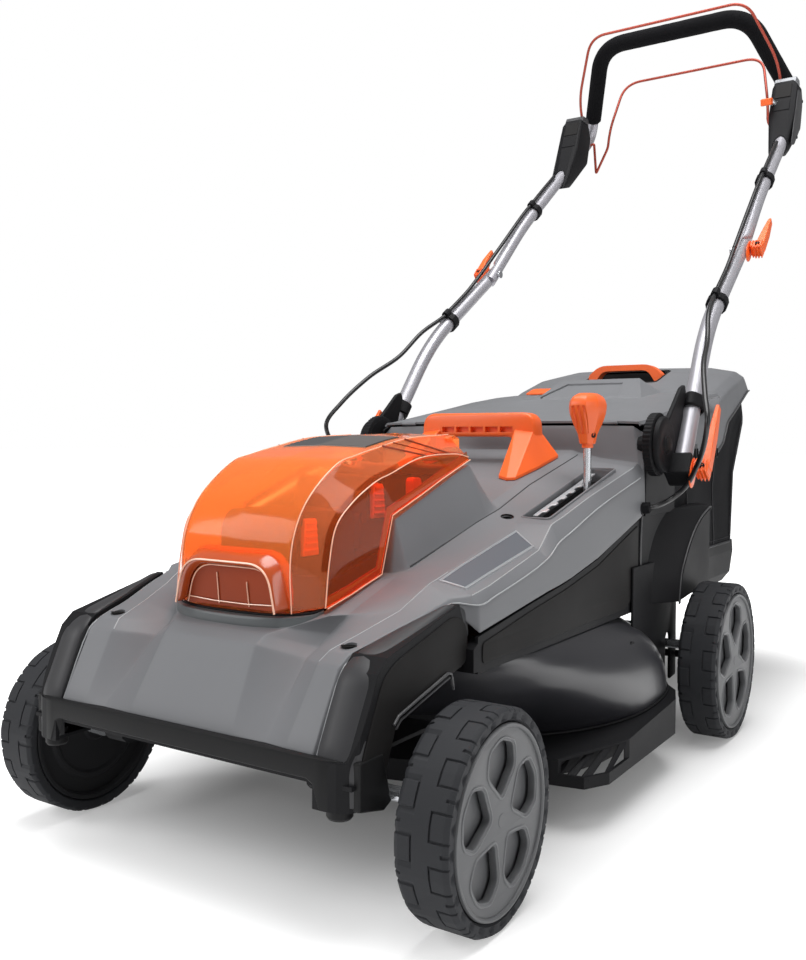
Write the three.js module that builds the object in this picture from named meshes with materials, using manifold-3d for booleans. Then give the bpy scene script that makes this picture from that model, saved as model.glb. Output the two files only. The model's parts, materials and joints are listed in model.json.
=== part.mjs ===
// Battery lawn mower with a grass catcher and a two-stage folding handle.
// Millimetres, +Z up, the front of the mower faces -Y, +X is the operator's left seen from the front.
// Every length below is measured from the deck datum: y = 0 lies 290 mm behind the front wheel
// axle, x = 0 is the middle plane and z = 0 is the ground. The outermost group moves the datum
// so that the origin of the part lies on the ground under the middle of its bounding box.
import * as THREE from 'three';
import { ConvexGeometry } from 'three/addons/geometries/ConvexGeometry.js';
import { mergeVertices } from 'three/addons/utils/BufferGeometryUtils.js';
import Module from 'manifold-3d';

const wasm = await Module();
wasm.setup();

// ---------------------------------------------------------------- driving dimensions
const GAP = 0.35; // clearance between pieces that touch

const FRONT_WHEEL = { y: -290, r: 89, x: 235.5 };
const REAR_WHEEL = { y: 352, r: 101.5, x: 250.5 };
const WHEEL_WIDTH = 47;
const LUGS = 14; // tread blocks in one row
const TREAD_DEPTH = 4.5;
const WHEEL_SIDES = 24;
const rimR = (r) => r * 0.865; // where the tyre sits on its wheel
const AXLE_R = 6;
const CRANK = { back: 50, down: 23 }; // from a crank rod to the wheel axle it carries
const FRONT_CRANK = { y: FRONT_WHEEL.y - CRANK.back, z: FRONT_WHEEL.r + CRANK.down };
const REAR_CRANK = { y: REAR_WHEEL.y - CRANK.back, z: REAR_WHEEL.r + CRANK.down };
const LINK_ARM = 44; // height of the inner crank arms that the link rod joins
const LINK_X = -142;

const DECK = { wall: 3.5, lip: 45, sideX: 194.5, fenderX: 186, tailX: 216 };
const FLANGE = { top: 76, slope: 0.058, strip: 57 }; // skirt round the dome, higher at the rear
const CHAMBER = { y: 60, r: 219, top: 122 };
const BLADE = { y: CHAMBER.y, length: 430, width: 48, z: 51, thick: 3 };
const MOTOR = { r: 60, bottom: 126.2, height: 92 };
const COVER_T = 3; // wall of the grey top cover
const BAY = { x: 84, front: -300, rear: -52 };
const COVER_HINGE = { y: -40, z: 385 }; // axis of the amber battery cover

const LEVER = { x: 160, y: 117, z: 150, rod: 4.5 };
const SLOT = { x0: 142, x1: 173, y0: -20, y1: 172 };
const SLOPE = 0.252; // rise of the shoulder towards the rear
const shoulderZ = (y) => 304.5 + SLOPE * (y + 30);

const GLAND = { x: 200, y: 208, z: 307 }; // where a cable leaves the flank
const PIVOT = { y: 224, z: 385, r: 38, boss: 12 }; // handle fold axis
const TUBE_R = 11;
const JOINT = { x: 212, y: 590, z: 681 }; // fold joint of the upper handle
const BASE = { x: 230, y: 248, z: 353 };
const BEND = { x: 219, y: 389, z: 545 };
const GRIP = { lowX: 202, lowY: 1017, lowZ: 1038, topX: 138, topY: 902, topZ: 1164 };
const DISC_FACE = 212.4; // inner face of a handle bracket, beside the toothed disc
const FOAM_R = 16;
const BAIL_R = 3.2;
const CENTRE_Y = 318.1; // middle of the bounding box, from the deck datum

// ---------------------------------------------------------------- colours
const paint = (color, roughness, metalness = 0) =>
  new THREE.MeshStandardMaterial({ color, roughness, metalness });
const GREY = paint(0x6f7173, 0.5);
const BLACK = paint(0x1d1d1f, 0.6);
const ORANGE = paint(0xf26a28, 0.45);
const AMBER = new THREE.MeshStandardMaterial({
  color: 0xf27a1e, roughness: 0.15, transparent: true, opacity: 0.55,
});
const STEEL = paint(0xb9bcc0, 0.3, 1);
const RUBBER = paint(0x2a2a2c, 0.85);
const HUB_GREY = paint(0x58595b, 0.6);
const FOAM = paint(0x141415, 0.95);
const COPPER = paint(0xb24a2e, 0.4, 0.6);
const FABRIC = paint(0x18181a, 0.95);
const BLADE_PAINT = paint(0x2b2d2f, 0.5, 0.7);
const CABLE = paint(0x101011, 0.7);

// ---------------------------------------------------------------- solids
// A closed geometry as a manifold solid, with the vertices that faces share merged.
function solid(geometry) {
  const bare = geometry.clone();
  bare.deleteAttribute('normal');
  if (bare.attributes.uv) bare.deleteAttribute('uv');
  const merged = mergeVertices(bare, 1e-4);
  const faces = [];
  const index = merged.index.array;
  for (let i = 0; i < index.length; i += 3) {
    const [a, b, c] = index.slice(i, i + 3);
    if (a !== b && b !== c && c !== a) faces.push(a, b, c);
  }
  return new wasm.Manifold(new wasm.Mesh({
    numProp: 3,
    vertProperties: new Float32Array(merged.attributes.position.array),
    triVerts: new Uint32Array(faces),
  }));
}

function geometryOf(body) {
  const mesh = body.getMesh();
  const geometry = new THREE.BufferGeometry();
  geometry.setAttribute('position', new THREE.BufferAttribute(mesh.vertProperties, 3));
  geometry.setIndex(new THREE.BufferAttribute(mesh.triVerts, 1));
  geometry.computeVertexNormals();
  return geometry;
}

const join = (...bodies) => bodies.reduce((sum, body) => sum.add(body));
const cut = (body, ...tools) => tools.reduce((rest, tool) => rest.subtract(tool), body);
const common = (...bodies) => bodies.reduce((rest, body) => rest.intersect(body));

// ---------------------------------------------------------------- shapes
const polygon = (points) => new THREE.Shape(points.map(([u, v]) => new THREE.Vector2(u, v)));

function disc(u, v, r) {
  const shape = new THREE.Shape();
  shape.absarc(u, v, r, 0, Math.PI * 2, false);
  return shape;
}

// A polygon whose corners are rounded by quadratic curves; each point is [u, v, radius].
function rounded(points) {
  const shape = new THREE.Shape();
  points.forEach(([u, v, r = 0], i) => {
    const here = new THREE.Vector2(u, v);
    const towards = (j) => {
      const [a, b] = points[(j + points.length) % points.length];
      const step = new THREE.Vector2(a, b).sub(here);
      return here.clone().addScaledVector(step.normalize(), r);
    };
    const start = towards(i - 1);
    const end = towards(i + 1);
    if (i === 0) shape.moveTo(start.x, start.y);
    else shape.lineTo(start.x, start.y);
    if (r > 0) shape.quadraticCurveTo(u, v, end.x, end.y);
  });
  shape.closePath();
  return shape;
}

const AXES = {
  // how the shape's u, the shape's v and the extrusion lie along x, y and z
  x: new THREE.Matrix4().makeBasis(
    new THREE.Vector3(0, 1, 0), new THREE.Vector3(0, 0, 1), new THREE.Vector3(1, 0, 0)),
  y: new THREE.Matrix4().makeBasis(
    new THREE.Vector3(0, 0, 1), new THREE.Vector3(1, 0, 0), new THREE.Vector3(0, 1, 0)),
  z: new THREE.Matrix4(),
};

// A shape pushed along one axis from a to b. Along x it is drawn in (y, z), along y in (z, x)
// and along z in (x, y).
function extrude(axis, shape, a, b, curveSegments = 4) {
  const geometry = new THREE.ExtrudeGeometry(shape, {
    depth: b - a, bevelEnabled: false, curveSegments,
  });
  geometry.translate(0, 0, a);
  geometry.applyMatrix4(AXES[axis]);
  return solid(geometry);
}

// A profile of [radius, along] points turned round the given axis through (p, q).
function turned(axis, profile, p, q, segments = 24) {
  const points = profile.map(([r, along]) => new THREE.Vector2(r, along));
  if (THREE.ShapeUtils.isClockWise(points)) points.reverse();
  const geometry = new THREE.LatheGeometry(points, segments);
  geometry.rotateX(Math.PI / 2); // the lathe's own axis becomes z
  geometry.applyMatrix4(AXES[axis]);
  const at = { x: [0, p, q], y: [q, 0, p], z: [p, q, 0] }[axis];
  geometry.translate(...at);
  return solid(geometry);
}

const rodAlong = (axis, r, a, b, p, q, segments = 12) =>
  turned(axis, [[0, a], [r, a], [r, b], [0, b]], p, q, segments);

const vec = ([x, y, z]) => new THREE.Vector3(x, y, z);

// A path that is sampled exactly at the points it was given.
class Knots extends THREE.Curve {
  constructor(points) {
    super();
    this.points = points;
  }

  getPointAt(u) {
    return this.points[Math.round(u * (this.points.length - 1))].clone();
  }

  getTangentAt(u) {
    const i = Math.round(u * (this.points.length - 1));
    const before = this.points[Math.max(i - 1, 0)];
    const after = this.points[Math.min(i + 1, this.points.length - 1)];
    const here = this.points[i];
    const d1 = here.clone().sub(before).normalize();
    return d1.add(after.clone().sub(here).normalize()).normalize();
  }
}

// Straight runs whose corners are rounded; each point is [x, y, z, radius].
function bentPath(points, perBend = 5) {
  const knots = [vec(points[0])];
  for (let i = 1; i < points.length - 1; i += 1) {
    const corner = vec(points[i]);
    const r = points[i][3] ?? 20;
    const enter = corner.clone().addScaledVector(vec(points[i - 1]).sub(corner).normalize(), r);
    const leave = corner.clone().addScaledVector(vec(points[i + 1]).sub(corner).normalize(), r);
    knots.push(...new THREE.QuadraticBezierCurve3(enter, corner, leave).getPoints(perBend - 1));
  }
  knots.push(vec(points.at(-1)));
  return new Knots(knots);
}

// A smooth path through points, sampled in even steps.
const smoothPath = (points, steps) =>
  new Knots(new THREE.CatmullRomCurve3(points.map(vec)).getSpacedPoints(steps));

// A round rod or cable that follows a path.
function swept(path, r, sides = 10) {
  const ring = Array.from({ length: sides }, (_, i) => {
    const angle = (i / sides) * Math.PI * 2;
    return new THREE.Vector2(r * Math.cos(angle), r * Math.sin(angle));
  });
  return solid(new THREE.ExtrudeGeometry(new THREE.Shape(ring), {
    steps: path.points.length - 1, extrudePath: path, bevelEnabled: false,
  }));
}

// A closed body through sections [height, points] that have the same number of points. The
// points lie across the given axis as in extrude().
function loft(axis, sections) {
  const n = sections[0][1].length;
  const index = [];
  for (let i = 0; i < sections.length - 1; i += 1) {
    for (let j = 0; j < n; j += 1) {
      const a = i * n + j;
      const b = i * n + (j + 1) % n;
      index.push(a, b, a + n, b, b + n, a + n);
    }
  }
  const faces = THREE.ShapeUtils.triangulateShape(
    sections[0][1].map(([u, v]) => new THREE.Vector2(u, v)), []);
  const last = (sections.length - 1) * n;
  faces.forEach(([a, b, c]) => index.push(a, c, b, a + last, b + last, c + last));
  const geometry = new THREE.BufferGeometry().setFromPoints(
    sections.flatMap(([w, points]) => points.map(([u, v]) => new THREE.Vector3(u, v, w))));
  geometry.setIndex(index);
  return solid(geometry.applyMatrix4(AXES[axis]));
}

// A rounded rectangle of points that spans -x..x and y0..y1.
function roundRect(x, y0, y1, r, perCorner = 5) {
  const corners = [[x - r, y1 - r, 0], [-x + r, y1 - r, 90], [-x + r, y0 + r, 180], [x - r, y0 + r, 270]];
  return corners.flatMap(([cx, cy, start]) => Array.from({ length: perCorner }, (_, k) => {
    const angle = THREE.MathUtils.degToRad(start + (90 * k) / (perCorner - 1));
    return [cx + r * Math.cos(angle), cy + r * Math.sin(angle)];
  }));
}

// A counter-clockwise polygon with every side moved outwards by d.
function grown(points, d) {
  return points.map((here, i) => {
    const before = points.at(i - 1);
    const after = points[(i + 1) % points.length];
    const normal = ([a, b], [c, e]) => new THREE.Vector2(e - b, a - c).normalize();
    const n1 = normal(before, here);
    const n2 = normal(here, after);
    const scale = d / (1 + n1.dot(n2));
    return [here[0] + (n1.x + n2.x) * scale, here[1] + (n1.y + n2.y) * scale];
  });
}

// The convex body round some points.
const hull = (points) => solid(new ConvexGeometry(points.map(vec)));
const block = (x0, x1, y0, y1, z0, z1) => solid(
  new THREE.BoxGeometry(x1 - x0, y1 - y0, z1 - z0)
    .translate((x0 + x1) / 2, (y0 + y1) / 2, (z0 + z1) / 2));
const onBothSides = (body) => join(body, body.mirror([1, 0, 0]));
// Raises every point by slope times its distance behind y = 0.
const sloped = (body, slope) => body.transform([1, 0, 0, 0, 0, 1, slope, 0, 0, 0, 1, 0, 0, 0, 0, 1]);

// An open lofted surface through rows of points, thickened to a closed sheet on the side that
// its rows and columns face away from.
function sheet(rows, thickness) {
  const nu = rows.length;
  const nv = rows[0].length;
  const index = [];
  for (let i = 0; i < nu - 1; i += 1) {
    for (let j = 0; j < nv - 1; j += 1) {
      const a = i * nv + j;
      index.push(a, a + 1, a + nv, a + 1, a + nv + 1, a + nv);
    }
  }
  const skin = new THREE.BufferGeometry().setFromPoints(rows.flat());
  skin.setIndex(index);
  skin.computeVertexNormals();
  const normal = skin.attributes.normal;
  const inner = rows.flat().map((p, k) => p.clone().addScaledVector(
    new THREE.Vector3().fromBufferAttribute(normal, k), -thickness));
  const shift = nu * nv;
  const closed = [...index];
  for (let k = 0; k < index.length; k += 3) {
    closed.push(index[k] + shift, index[k + 2] + shift, index[k + 1] + shift);
  }
  const edge = (a, b) => closed.push(b, a, a + shift, b, a + shift, b + shift);
  for (let j = 0; j < nv - 1; j += 1) {
    edge(j, j + 1);
    edge((nu - 1) * nv + j + 1, (nu - 1) * nv + j);
  }
  for (let i = 0; i < nu - 1; i += 1) {
    edge((i + 1) * nv, i * nv);
    edge(i * nv + nv - 1, (i + 1) * nv + nv - 1);
  }
  const geometry = new THREE.BufferGeometry().setFromPoints([...rows.flat(), ...inner]);
  geometry.setIndex(closed);
  return solid(geometry);
}

// A full row of points from its right half, given from the middle plane outwards.
function mirrorRow(half) {
  const right = half.map(vec);
  const left = right.slice(1).reverse().map((p) => new THREE.Vector3(-p.x, p.y, p.z));
  return [...left, ...right];
}

// ---------------------------------------------------------------- the assembly
const mower = new THREE.Group();
mower.position.y = -CENTRE_Y;

function add(name, body, material, parent = mower) {
  const mesh = new THREE.Mesh(body.isBufferGeometry ? body : geometryOf(body), material);
  mesh.name = name;
  parent.add(mesh);
  return mesh;
}

const mirrored = (body) => body.mirror([1, 0, 0]);

// ---------------------------------------------------------------- wheels
// Two rows of tread blocks, half a pitch apart, round a plain carcass. The wheel's own axis is x.
function tyre(r) {
  const half = WHEEL_WIDTH / 2;
  const carcass = r - TREAD_DEPTH;
  const row = (phase, from, to) => {
    const at = (k, radius) => {
      const angle = ((k + phase) / LUGS) * Math.PI * 2;
      return [radius * Math.cos(angle), radius * Math.sin(angle)];
    };
    const blocks = Array.from({ length: LUGS }, (_, i) => [
      at(i, carcass), at(i + 0.06, r), at(i + 0.66, r), at(i + 0.72, carcass),
    ]);
    return extrude('x', polygon(blocks.flat()), from, to);
  };
  const flank = turned('x', [
    [rimR(r), -half], [r - 8, -half], [carcass - 1.5, -half + 4], [carcass - 1.5, half - 4],
    [r - 8, half], [rimR(r), half], [rimR(r), -half],
  ], 0, 0, WHEEL_SIDES);
  const bore = rodAlong('x', rimR(r), -half - 1, half + 1, 0, 0, WHEEL_SIDES);
  return cut(join(flank, row(0, -half + 3, 0), row(0.5, 0, half - 3)), bore);
}

// Wheel disc with a raised rim, five sunk kite windows round the cap and a hollow back.
function hub(r) {
  const rim = rimR(r) - GAP;
  const half = WHEEL_WIDTH / 2;
  const body = turned('x', [
    [AXLE_R + GAP, -half + 6], [16, -half + 6], [16, half - 7], [rim - 6, half - 7],
    [rim - 5, -half + 1], [rim, -half + 1], [rim, half - 1], [rim - 4, half + 1],
    [rim - 8, half - 2], [AXLE_R + GAP, half - 2], [AXLE_R + GAP, -half + 6],
  ], 0, 0, WHEEL_SIDES);
  const inner = r * 0.2;
  const outer = rim - 11;
  const windows = Array.from({ length: 5 }, (_, i) => {
    const spin = ([u, v]) => {
      const angle = (i / 5) * Math.PI * 2 + Math.PI / 2;
      return [u * Math.cos(angle) - v * Math.sin(angle), u * Math.sin(angle) + v * Math.cos(angle)];
    };
    const kite = [
      [inner, 0], [outer * 0.62, -outer * 0.36], [outer * 0.9, -outer * 0.3],
      [outer, 0], [outer * 0.9, outer * 0.3], [outer * 0.62, outer * 0.36],
    ];
    return extrude('x', polygon(kite.map(spin)), half - 5, half + 4);
  });
  return cut(body, ...windows);
}

// Crank rod across the mower with an arm and a stub axle for each wheel, and one inner arm.
function crankAxle(crank, wheel, armX) {
  const rod = rodAlong('x', AXLE_R, -armX, armX, crank.y, crank.z);
  const arm = (side) => extrude('x', rounded([
    [crank.y - 8, crank.z - 6, 5], [crank.y - 6, crank.z + 9, 5], [crank.y + 8, crank.z + 8, 2],
    [wheel.y + 7, wheel.r + 8, 5], [wheel.y + 9, wheel.r - 6, 5], [wheel.y - 6, wheel.r - 9, 2],
  ]), side > 0 ? armX - 5 : -armX, side > 0 ? armX : -armX + 5, 2);
  const stub = (side) => {
    const end = wheel.x + WHEEL_WIDTH / 2 - 4;
    return rodAlong('x', AXLE_R, side > 0 ? armX - 3 : -end, side > 0 ? end : -armX + 3,
      wheel.y, wheel.r);
  };
  const innerArm = extrude('x', rounded([
    [crank.y - 8, crank.z - 6, 4], [crank.y - 7, crank.z + LINK_ARM + 7, 5],
    [crank.y + 7, crank.z + LINK_ARM + 7, 5], [crank.y + 8, crank.z - 6, 4],
  ]), LINK_X - 2, LINK_X + 2, 2);
  const pinHole = rodAlong('x', 3.4, LINK_X - 4, LINK_X + 4, crank.y, crank.z + LINK_ARM);
  return join(rod, arm(1), arm(-1), stub(1), stub(-1), cut(innerArm, pinHole));
}

const WHEELS = [
  ['front_left', FRONT_WHEEL, 1], ['front_right', FRONT_WHEEL, -1],
  ['rear_left', REAR_WHEEL, 1], ['rear_right', REAR_WHEEL, -1],
];
for (const [place, wheel, side] of WHEELS) {
  const group = new THREE.Group();
  group.position.set(side * wheel.x, wheel.y, wheel.r);
  if (side < 0) group.rotation.z = Math.PI;
  mower.add(group);
  add(`tyre_${place}`, tyre(wheel.r), RUBBER, group);
  add(`hub_${place}`, hub(wheel.r), HUB_GREY, group);
}

add('front_axle', crankAxle(FRONT_CRANK, FRONT_WHEEL, 204), STEEL);
add('rear_axle', crankAxle(REAR_CRANK, REAR_WHEEL, 224), STEEL);

// Drive unit hung on the rear wheel line: gear case, motor barrel and its through shaft.
const DRIVE = { x0: -176, x1: -128, r: 29 };
const driveShaft = rodAlong('x', 5, -217.5, 217.5, REAR_WHEEL.y, REAR_WHEEL.r);
const driveCase = turned('x', [
  [0, DRIVE.x0], [DRIVE.r - 4, DRIVE.x0], [DRIVE.r, DRIVE.x0 + 4], [DRIVE.r, DRIVE.x1 - 14],
  [16, DRIVE.x1 - 10], [16, DRIVE.x1], [0, DRIVE.x1],
], REAR_WHEEL.y, REAR_WHEEL.r, 16);
add('drive_unit', join(driveShaft, driveCase), BLACK);

// Link rod that makes both cranks turn together.
const linkProfile = [
  [FRONT_CRANK.y - 6, FRONT_CRANK.z + LINK_ARM - 5], [REAR_CRANK.y + 6, REAR_CRANK.z + LINK_ARM - 5],
  [REAR_CRANK.y + 6, REAR_CRANK.z + LINK_ARM + 5], [FRONT_CRANK.y - 6, FRONT_CRANK.z + LINK_ARM + 5],
];
const linkPin = (crank) => rodAlong('x', 3, LINK_X - 2.5, LINK_X + 5, crank.y, crank.z + LINK_ARM);
add('height_link', join(
  extrude('x', polygon(linkProfile), LINK_X + 2 + GAP, LINK_X + 5 + GAP),
  linkPin(FRONT_CRANK), linkPin(REAR_CRANK),
), STEEL);

// ---------------------------------------------------------------- deck
// Levels of the dome over the blade: height, front edge, half width, the y where it is widest,
// rear edge, and how square its front and rear corners are.
const DOME = [
  [62, -66, 231, 135, 289, 2, 3], [86, -82, 235, 135, 290, 2, 3], [112, -122, 234, 130, 289, 2.2, 3],
  [136, -165, 228, 122, 285, 2.5, 2.8], [156, -192, 216, 110, 278, 3, 2.5],
  [172, -206, 201, 90, 262, 4, 2.3], [184.5, -213, 186, 60, 240, 6, 2.2],
];
const QUARTER = 5; // steps in a quarter of a section

// Counter-clockwise section of the dome at one level, with its wall taken off inside.
function domeSection([, front, side, widest, rear, squareFront, squareRear], inside) {
  const corner = (reach, square, i) => {
    const angle = (i / QUARTER) * (Math.PI / 2);
    const power = 2 / square;
    return [(side - inside) * Math.cos(angle) ** power, widest + reach * Math.sin(angle) ** power];
  };
  const steps = Array.from({ length: QUARTER + 1 }, (_, i) => i);
  const ahead = steps.map((i) => corner(front + inside - widest, squareFront, i)).reverse();
  const behind = steps.map((i) => corner(rear - inside - widest, squareRear, i));
  const right = [...ahead, ...behind.slice(1)];
  return [...right, ...right.slice(1, -1).reverse().map(([x, y]) => [-x, y])];
}

const domeBody = (inside, over) => loft('z', DOME.map((level, i) => [
  level[0] + (i === 0 ? -over : 0) + (i === DOME.length - 1 ? over : 0), domeSection(level, inside),
]));

// Everything below the skirt's sloping top plate, or below its underside.
const underPlate = (lowered) => sloped(
  block(-300, 300, -300, 400, 0, FLANGE.top - lowered), FLANGE.slope);

// Low box that the dome grows in front, where the blade's circle runs out beyond it.
const chest = (inside) => block(-154.5 + inside, 154.5 - inside, -92 + inside, 0,
  FLANGE.top - 10, 121 - inside);

// Chamber ring round the blade and the room it encloses.
const chamberDisc = (r, z0, z1) => rodAlong('z', r, z0, z1, 0, CHAMBER.y, 36);
const chamberRoom = common(
  chamberDisc(CHAMBER.r, DECK.lip - 10, CHAMBER.top),
  join(underPlate(DECK.wall), domeBody(DECK.wall, 1), chest(DECK.wall)));

// Plan of one half of the skirt, and the foot and head of each slat of its comb.
const SKIRT = [
  [150, -75], [203, -75], [236, -69], [251, -40], [251, 172], [240, 206], [197, 258], [152, 287],
];
const COMB = [
  { foot: [206, -72.5], head: [219, -42] }, { foot: [220, -70], head: [229, -23] },
  { foot: [234.5, -66.5], head: [239, -4] }, { foot: [247.5, -42], head: [248, 13], sideways: true },
];

function skirt() {
  const plan = [...SKIRT, ...SKIRT.map(([x, y]) => [-x, y]).reverse()];
  const high = FLANGE.top + 34; // above every part of the sloping top plate
  const shell = cut(
    common(extrude('z', polygon(plan), DECK.lip, high), underPlate(0)),
    common(extrude('z', polygon(grown(plan, -DECK.wall)), DECK.lip - 5, high), underPlate(DECK.wall)),
    extrude('z', polygon(domeSection(DOME[0], DECK.wall)), DECK.lip - 5, high));
  const front = [[203, -90], [270, -90], [270, 17], [251, 17]];
  const window = extrude('z', polygon(front), FLANGE.strip, high);
  return join(cut(shell, onBothSides(window)), onBothSides(comb()));
}

// Slanting guide slats between the strip at the foot of the skirt and its top plate.
function comb() {
  const slats = COMB.map(({ foot: [x0, y0], head: [x1, y1], sideways }) => {
    const bottom = FLANGE.strip - 4;
    const top = FLANGE.top - 1.2 + FLANGE.slope * y1;
    const [dx, dy] = sideways ? [1.5, 4.5] : [4.5, 1.5];
    return hull([
      [x0 - dx, y0 - dy, bottom], [x0 + dx, y0 + dy, bottom],
      [x0 - dx - 1, y0 - dy + 3, bottom], [x0 + dx - 1, y0 + dy + 3, bottom],
      [x1 - 3, y1 - 4.5, top], [x1 + 2, y1 + 4.5, top],
      [x1 - 5, y1 - 3, top - 1.5], [x1, y1 + 6, top - 1.5],
    ]);
  });
  return join(...slats);
}

// Cutting deck: dome, the ceiling of its chamber, the skirt and the ring round the blade.
function cuttingDeck() {
  const outer = join(domeBody(0, 0), chest(0));
  const shell = cut(outer, domeBody(DECK.wall, 1));
  const ceiling = common(outer, block(-300, 300, -300, 400, CHAMBER.top, CHAMBER.top + DECK.wall));
  const ring = common(
    chamberDisc(CHAMBER.r + DECK.wall, DECK.lip, CHAMBER.top + 1), join(underPlate(0), outer));
  return join(shell, ceiling, skirt(), ring);
}

// Closed tunnel that carries the clippings from the chamber up to the catcher.
const DUCT = {
  x: 98,
  side: [
    [128, 40], [262, 40], [262, 75], [300, 150], [340, 171], [340, 370], [300, 365], [180, 190],
    [128, 122],
  ],
};
const ductInside = extrude('x', polygon(DUCT.side), -DUCT.x, DUCT.x);
const ductOutside = common(
  extrude('x', polygon(grown(DUCT.side, DECK.wall)), -DUCT.x - DECK.wall, DUCT.x + DECK.wall),
  block(-300, 300, 0, 329.5, DECK.lip, 400));

// Upright sides between the shelf and the grey cover, with the lower edge raised at the rear.
function sideWall() {
  const edge = [
    [-214, 215], [-100, 231], [-22, 241], [68, 257.5], [133, 276.5], [198, 292.5], [214, 298.5],
    [330, 298.5],
  ];
  const outline = [[-214, 183], [240, 183], [262, 141], [330, 141], ...[...edge].reverse()];
  return extrude('x', polygon(outline), DECK.sideX - DECK.wall, DECK.sideX);
}

// Plan of the front end with rounded corners, drawn `inside` its outer face.
const frontPlan = (inside) => rounded([
  [-DECK.fenderX + inside, -180], [-DECK.fenderX + inside, -395 + inside, 26 - inside],
  [DECK.fenderX - inside, -395 + inside, 26 - inside], [DECK.fenderX - inside, -180],
]);

// Shoulder over each front wheel: closed outside, front and top, open towards the middle.
function fender() {
  const outline = [
    [-392, 108], [-352, 108], [-352, 125], [-334, 170], [-253, 189], [-218, 196], [-218, 214],
    [-233, 246], [-346, 219], [-359, 208], [-389, 146],
  ];
  const plan = (inside) => extrude('z', frontPlan(inside), 50, 300);
  const shell = cut(
    common(extrude('x', polygon(outline), 152.5, DECK.fenderX), plan(0)),
    common(extrude('x', polygon(grown(outline, -DECK.wall)), 150, DECK.fenderX), plan(DECK.wall)));
  const bridge = extrude('x', polygon([[-222, 184], [-205, 184], [-205, 214], [-222, 205]]),
    DECK.fenderX - DECK.wall, DECK.sideX);
  const hoodSide = extrude('z', polygon([
    [100, -400], [150.8, -400], [150.8, -355], [152.9, -344], [162, -298], [171.5, -262],
    [179.2, -228], [184, -216], [184, -190], [100, -190],
  ]), 186, 300);
  return cut(join(shell, bridge), hoodSide);
}

// Bumper band round the front, deeper at the corners.
function bumper() {
  const band = cut(extrude('z', frontPlan(0), 108, 146), extrude('z', frontPlan(4), 100, 150));
  return cut(band, block(-300, 300, -352, 0, 0, 300), block(-150, 150, -500, 0, 0, 131));
}

// Flared guard in front of each rear wheel.
function mudguard() {
  const root = [
    [211, 186], [330, 186], [428, 190], [428, 302], [330, 300], [297, 297], [254, 275], [226, 240],
    [211, 193],
  ];
  const rim = [
    [290, 182], [340, 186], [428, 190], [428, 298], [420, 297], [380, 285], [340, 262], [302, 224],
    [292, 190],
  ];
  const x0 = DECK.sideX - DECK.wall;
  return cut(
    loft('x', [[x0, root], [DECK.tailX, rim]]),
    loft('x', [[x0 - 4, grown(root, -DECK.wall)], [DECK.tailX - DECK.wall, grown(rim, -DECK.wall)]]));
}

// Post, boss and toothed disc that carry the folding handle on one side.
function handlePost() {
  const post = extrude('x', rounded([
    [224, 200, 3], [258, 200, 3], [258, 385, 11], [246, 403, 8], [224, 403, 4],
  ]), 184, 190.5);
  const pad = block(190, 192, 222, 256, 205, 290);
  const boss = rodAlong('x', PIVOT.boss, 186, 201, PIVOT.y, PIVOT.z, 16);
  const teeth = 20;
  const wheel = Array.from({ length: teeth * 2 }, (_, i) => {
    const r = i % 2 ? PIVOT.r : PIVOT.r - 2;
    const angle = (i / teeth) * Math.PI;
    return [PIVOT.y + r * Math.cos(angle), PIVOT.z + r * Math.sin(angle)];
  });
  const disc = rodAlong('x', PIVOT.r - 4, 200, 207, PIVOT.y, PIVOT.z, 16);
  return join(post, pad, boss, disc, extrude('x', polygon(wheel), 206.5, 212));
}

const FLOOR = { z: 126, thick: 3.5 };
const REAR_FLOOR_Z = 140;
// Ear that carries a crank rod under a floor plate.
const bearing = (crank, x0, x1, top) => cut(
  join(rodAlong('x', 12, x0, x1, crank.y, crank.z),
    block(x0, x1, crank.y - 12, crank.y + 12, crank.z, top)),
  rodAlong('x', AXLE_R + GAP, x0 - 1, x1 + 1, crank.y, crank.z));

function deckShell() {
  const shelf = cut(
    block(-DECK.sideX, DECK.sideX, -214, 262, 182, 185.5),
    block(-182, 182, -190, 300, 170, 200));
  const frontFloor = cut(
    block(-DECK.fenderX + 2, DECK.fenderX - 2, -391, -205, FLOOR.z, FLOOR.z + FLOOR.thick),
    block(LINK_X - 4, LINK_X + 8, -386, -292, 120, 140),
    block(-200, -148, -352, -205, 100, 140), block(148, 200, -352, -205, 100, 140));
  const rearWall = cut(
    block(-DECK.sideX + 2, DECK.sideX - 2, 326, 329.5, REAR_FLOOR_Z, 384),
    block(-250, -DUCT.x - 2, 300, 340, 130, 186), block(DUCT.x + 2, 250, 300, 340, 130, 186));
  const rearFloor = cut(
    block(-DECK.sideX, DECK.sideX, 240, 330, REAR_FLOOR_Z, REAR_FLOOR_Z + 3.5),
    block(LINK_X - 4, LINK_X + 8, 235, 340, 130, 150),
    block(DRIVE.x0 - 6, DRIVE.x1 + 6, 317, 340, 130, 150));
  const lugs = onBothSides(join(
    bearing(FRONT_CRANK, 110, 134, FLOOR.z + 1), bearing(REAR_CRANK, 150, 166, REAR_FLOOR_Z + 1)));
  const sides = onBothSides(join(sideWall(), fender(), mudguard(), handlePost()));
  const leverBoss = rodAlong('x', 9, LEVER.x + 6, 217.5, LEVER.y, LEVER.z, 14);
  const body = join(cuttingDeck(), ductOutside, shelf, frontFloor, rearWall, rearFloor,
    bumper(), lugs, sides, leverBoss);
  const linkWindow = block(LINK_X - 6, LINK_X + 12, -230, 300, 135, 181);
  const motorHole = rodAlong('z', 14, 100, 140, 0, CHAMBER.y, 16);
  const leverHole = rodAlong('x', 3.5, LEVER.x, 200, LEVER.y, LEVER.z, 10);
  return cut(body, chamberRoom, ductInside, linkWindow, motorHole, leverHole);
}
add('deck_shell', deckShell(), BLACK);

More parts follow.
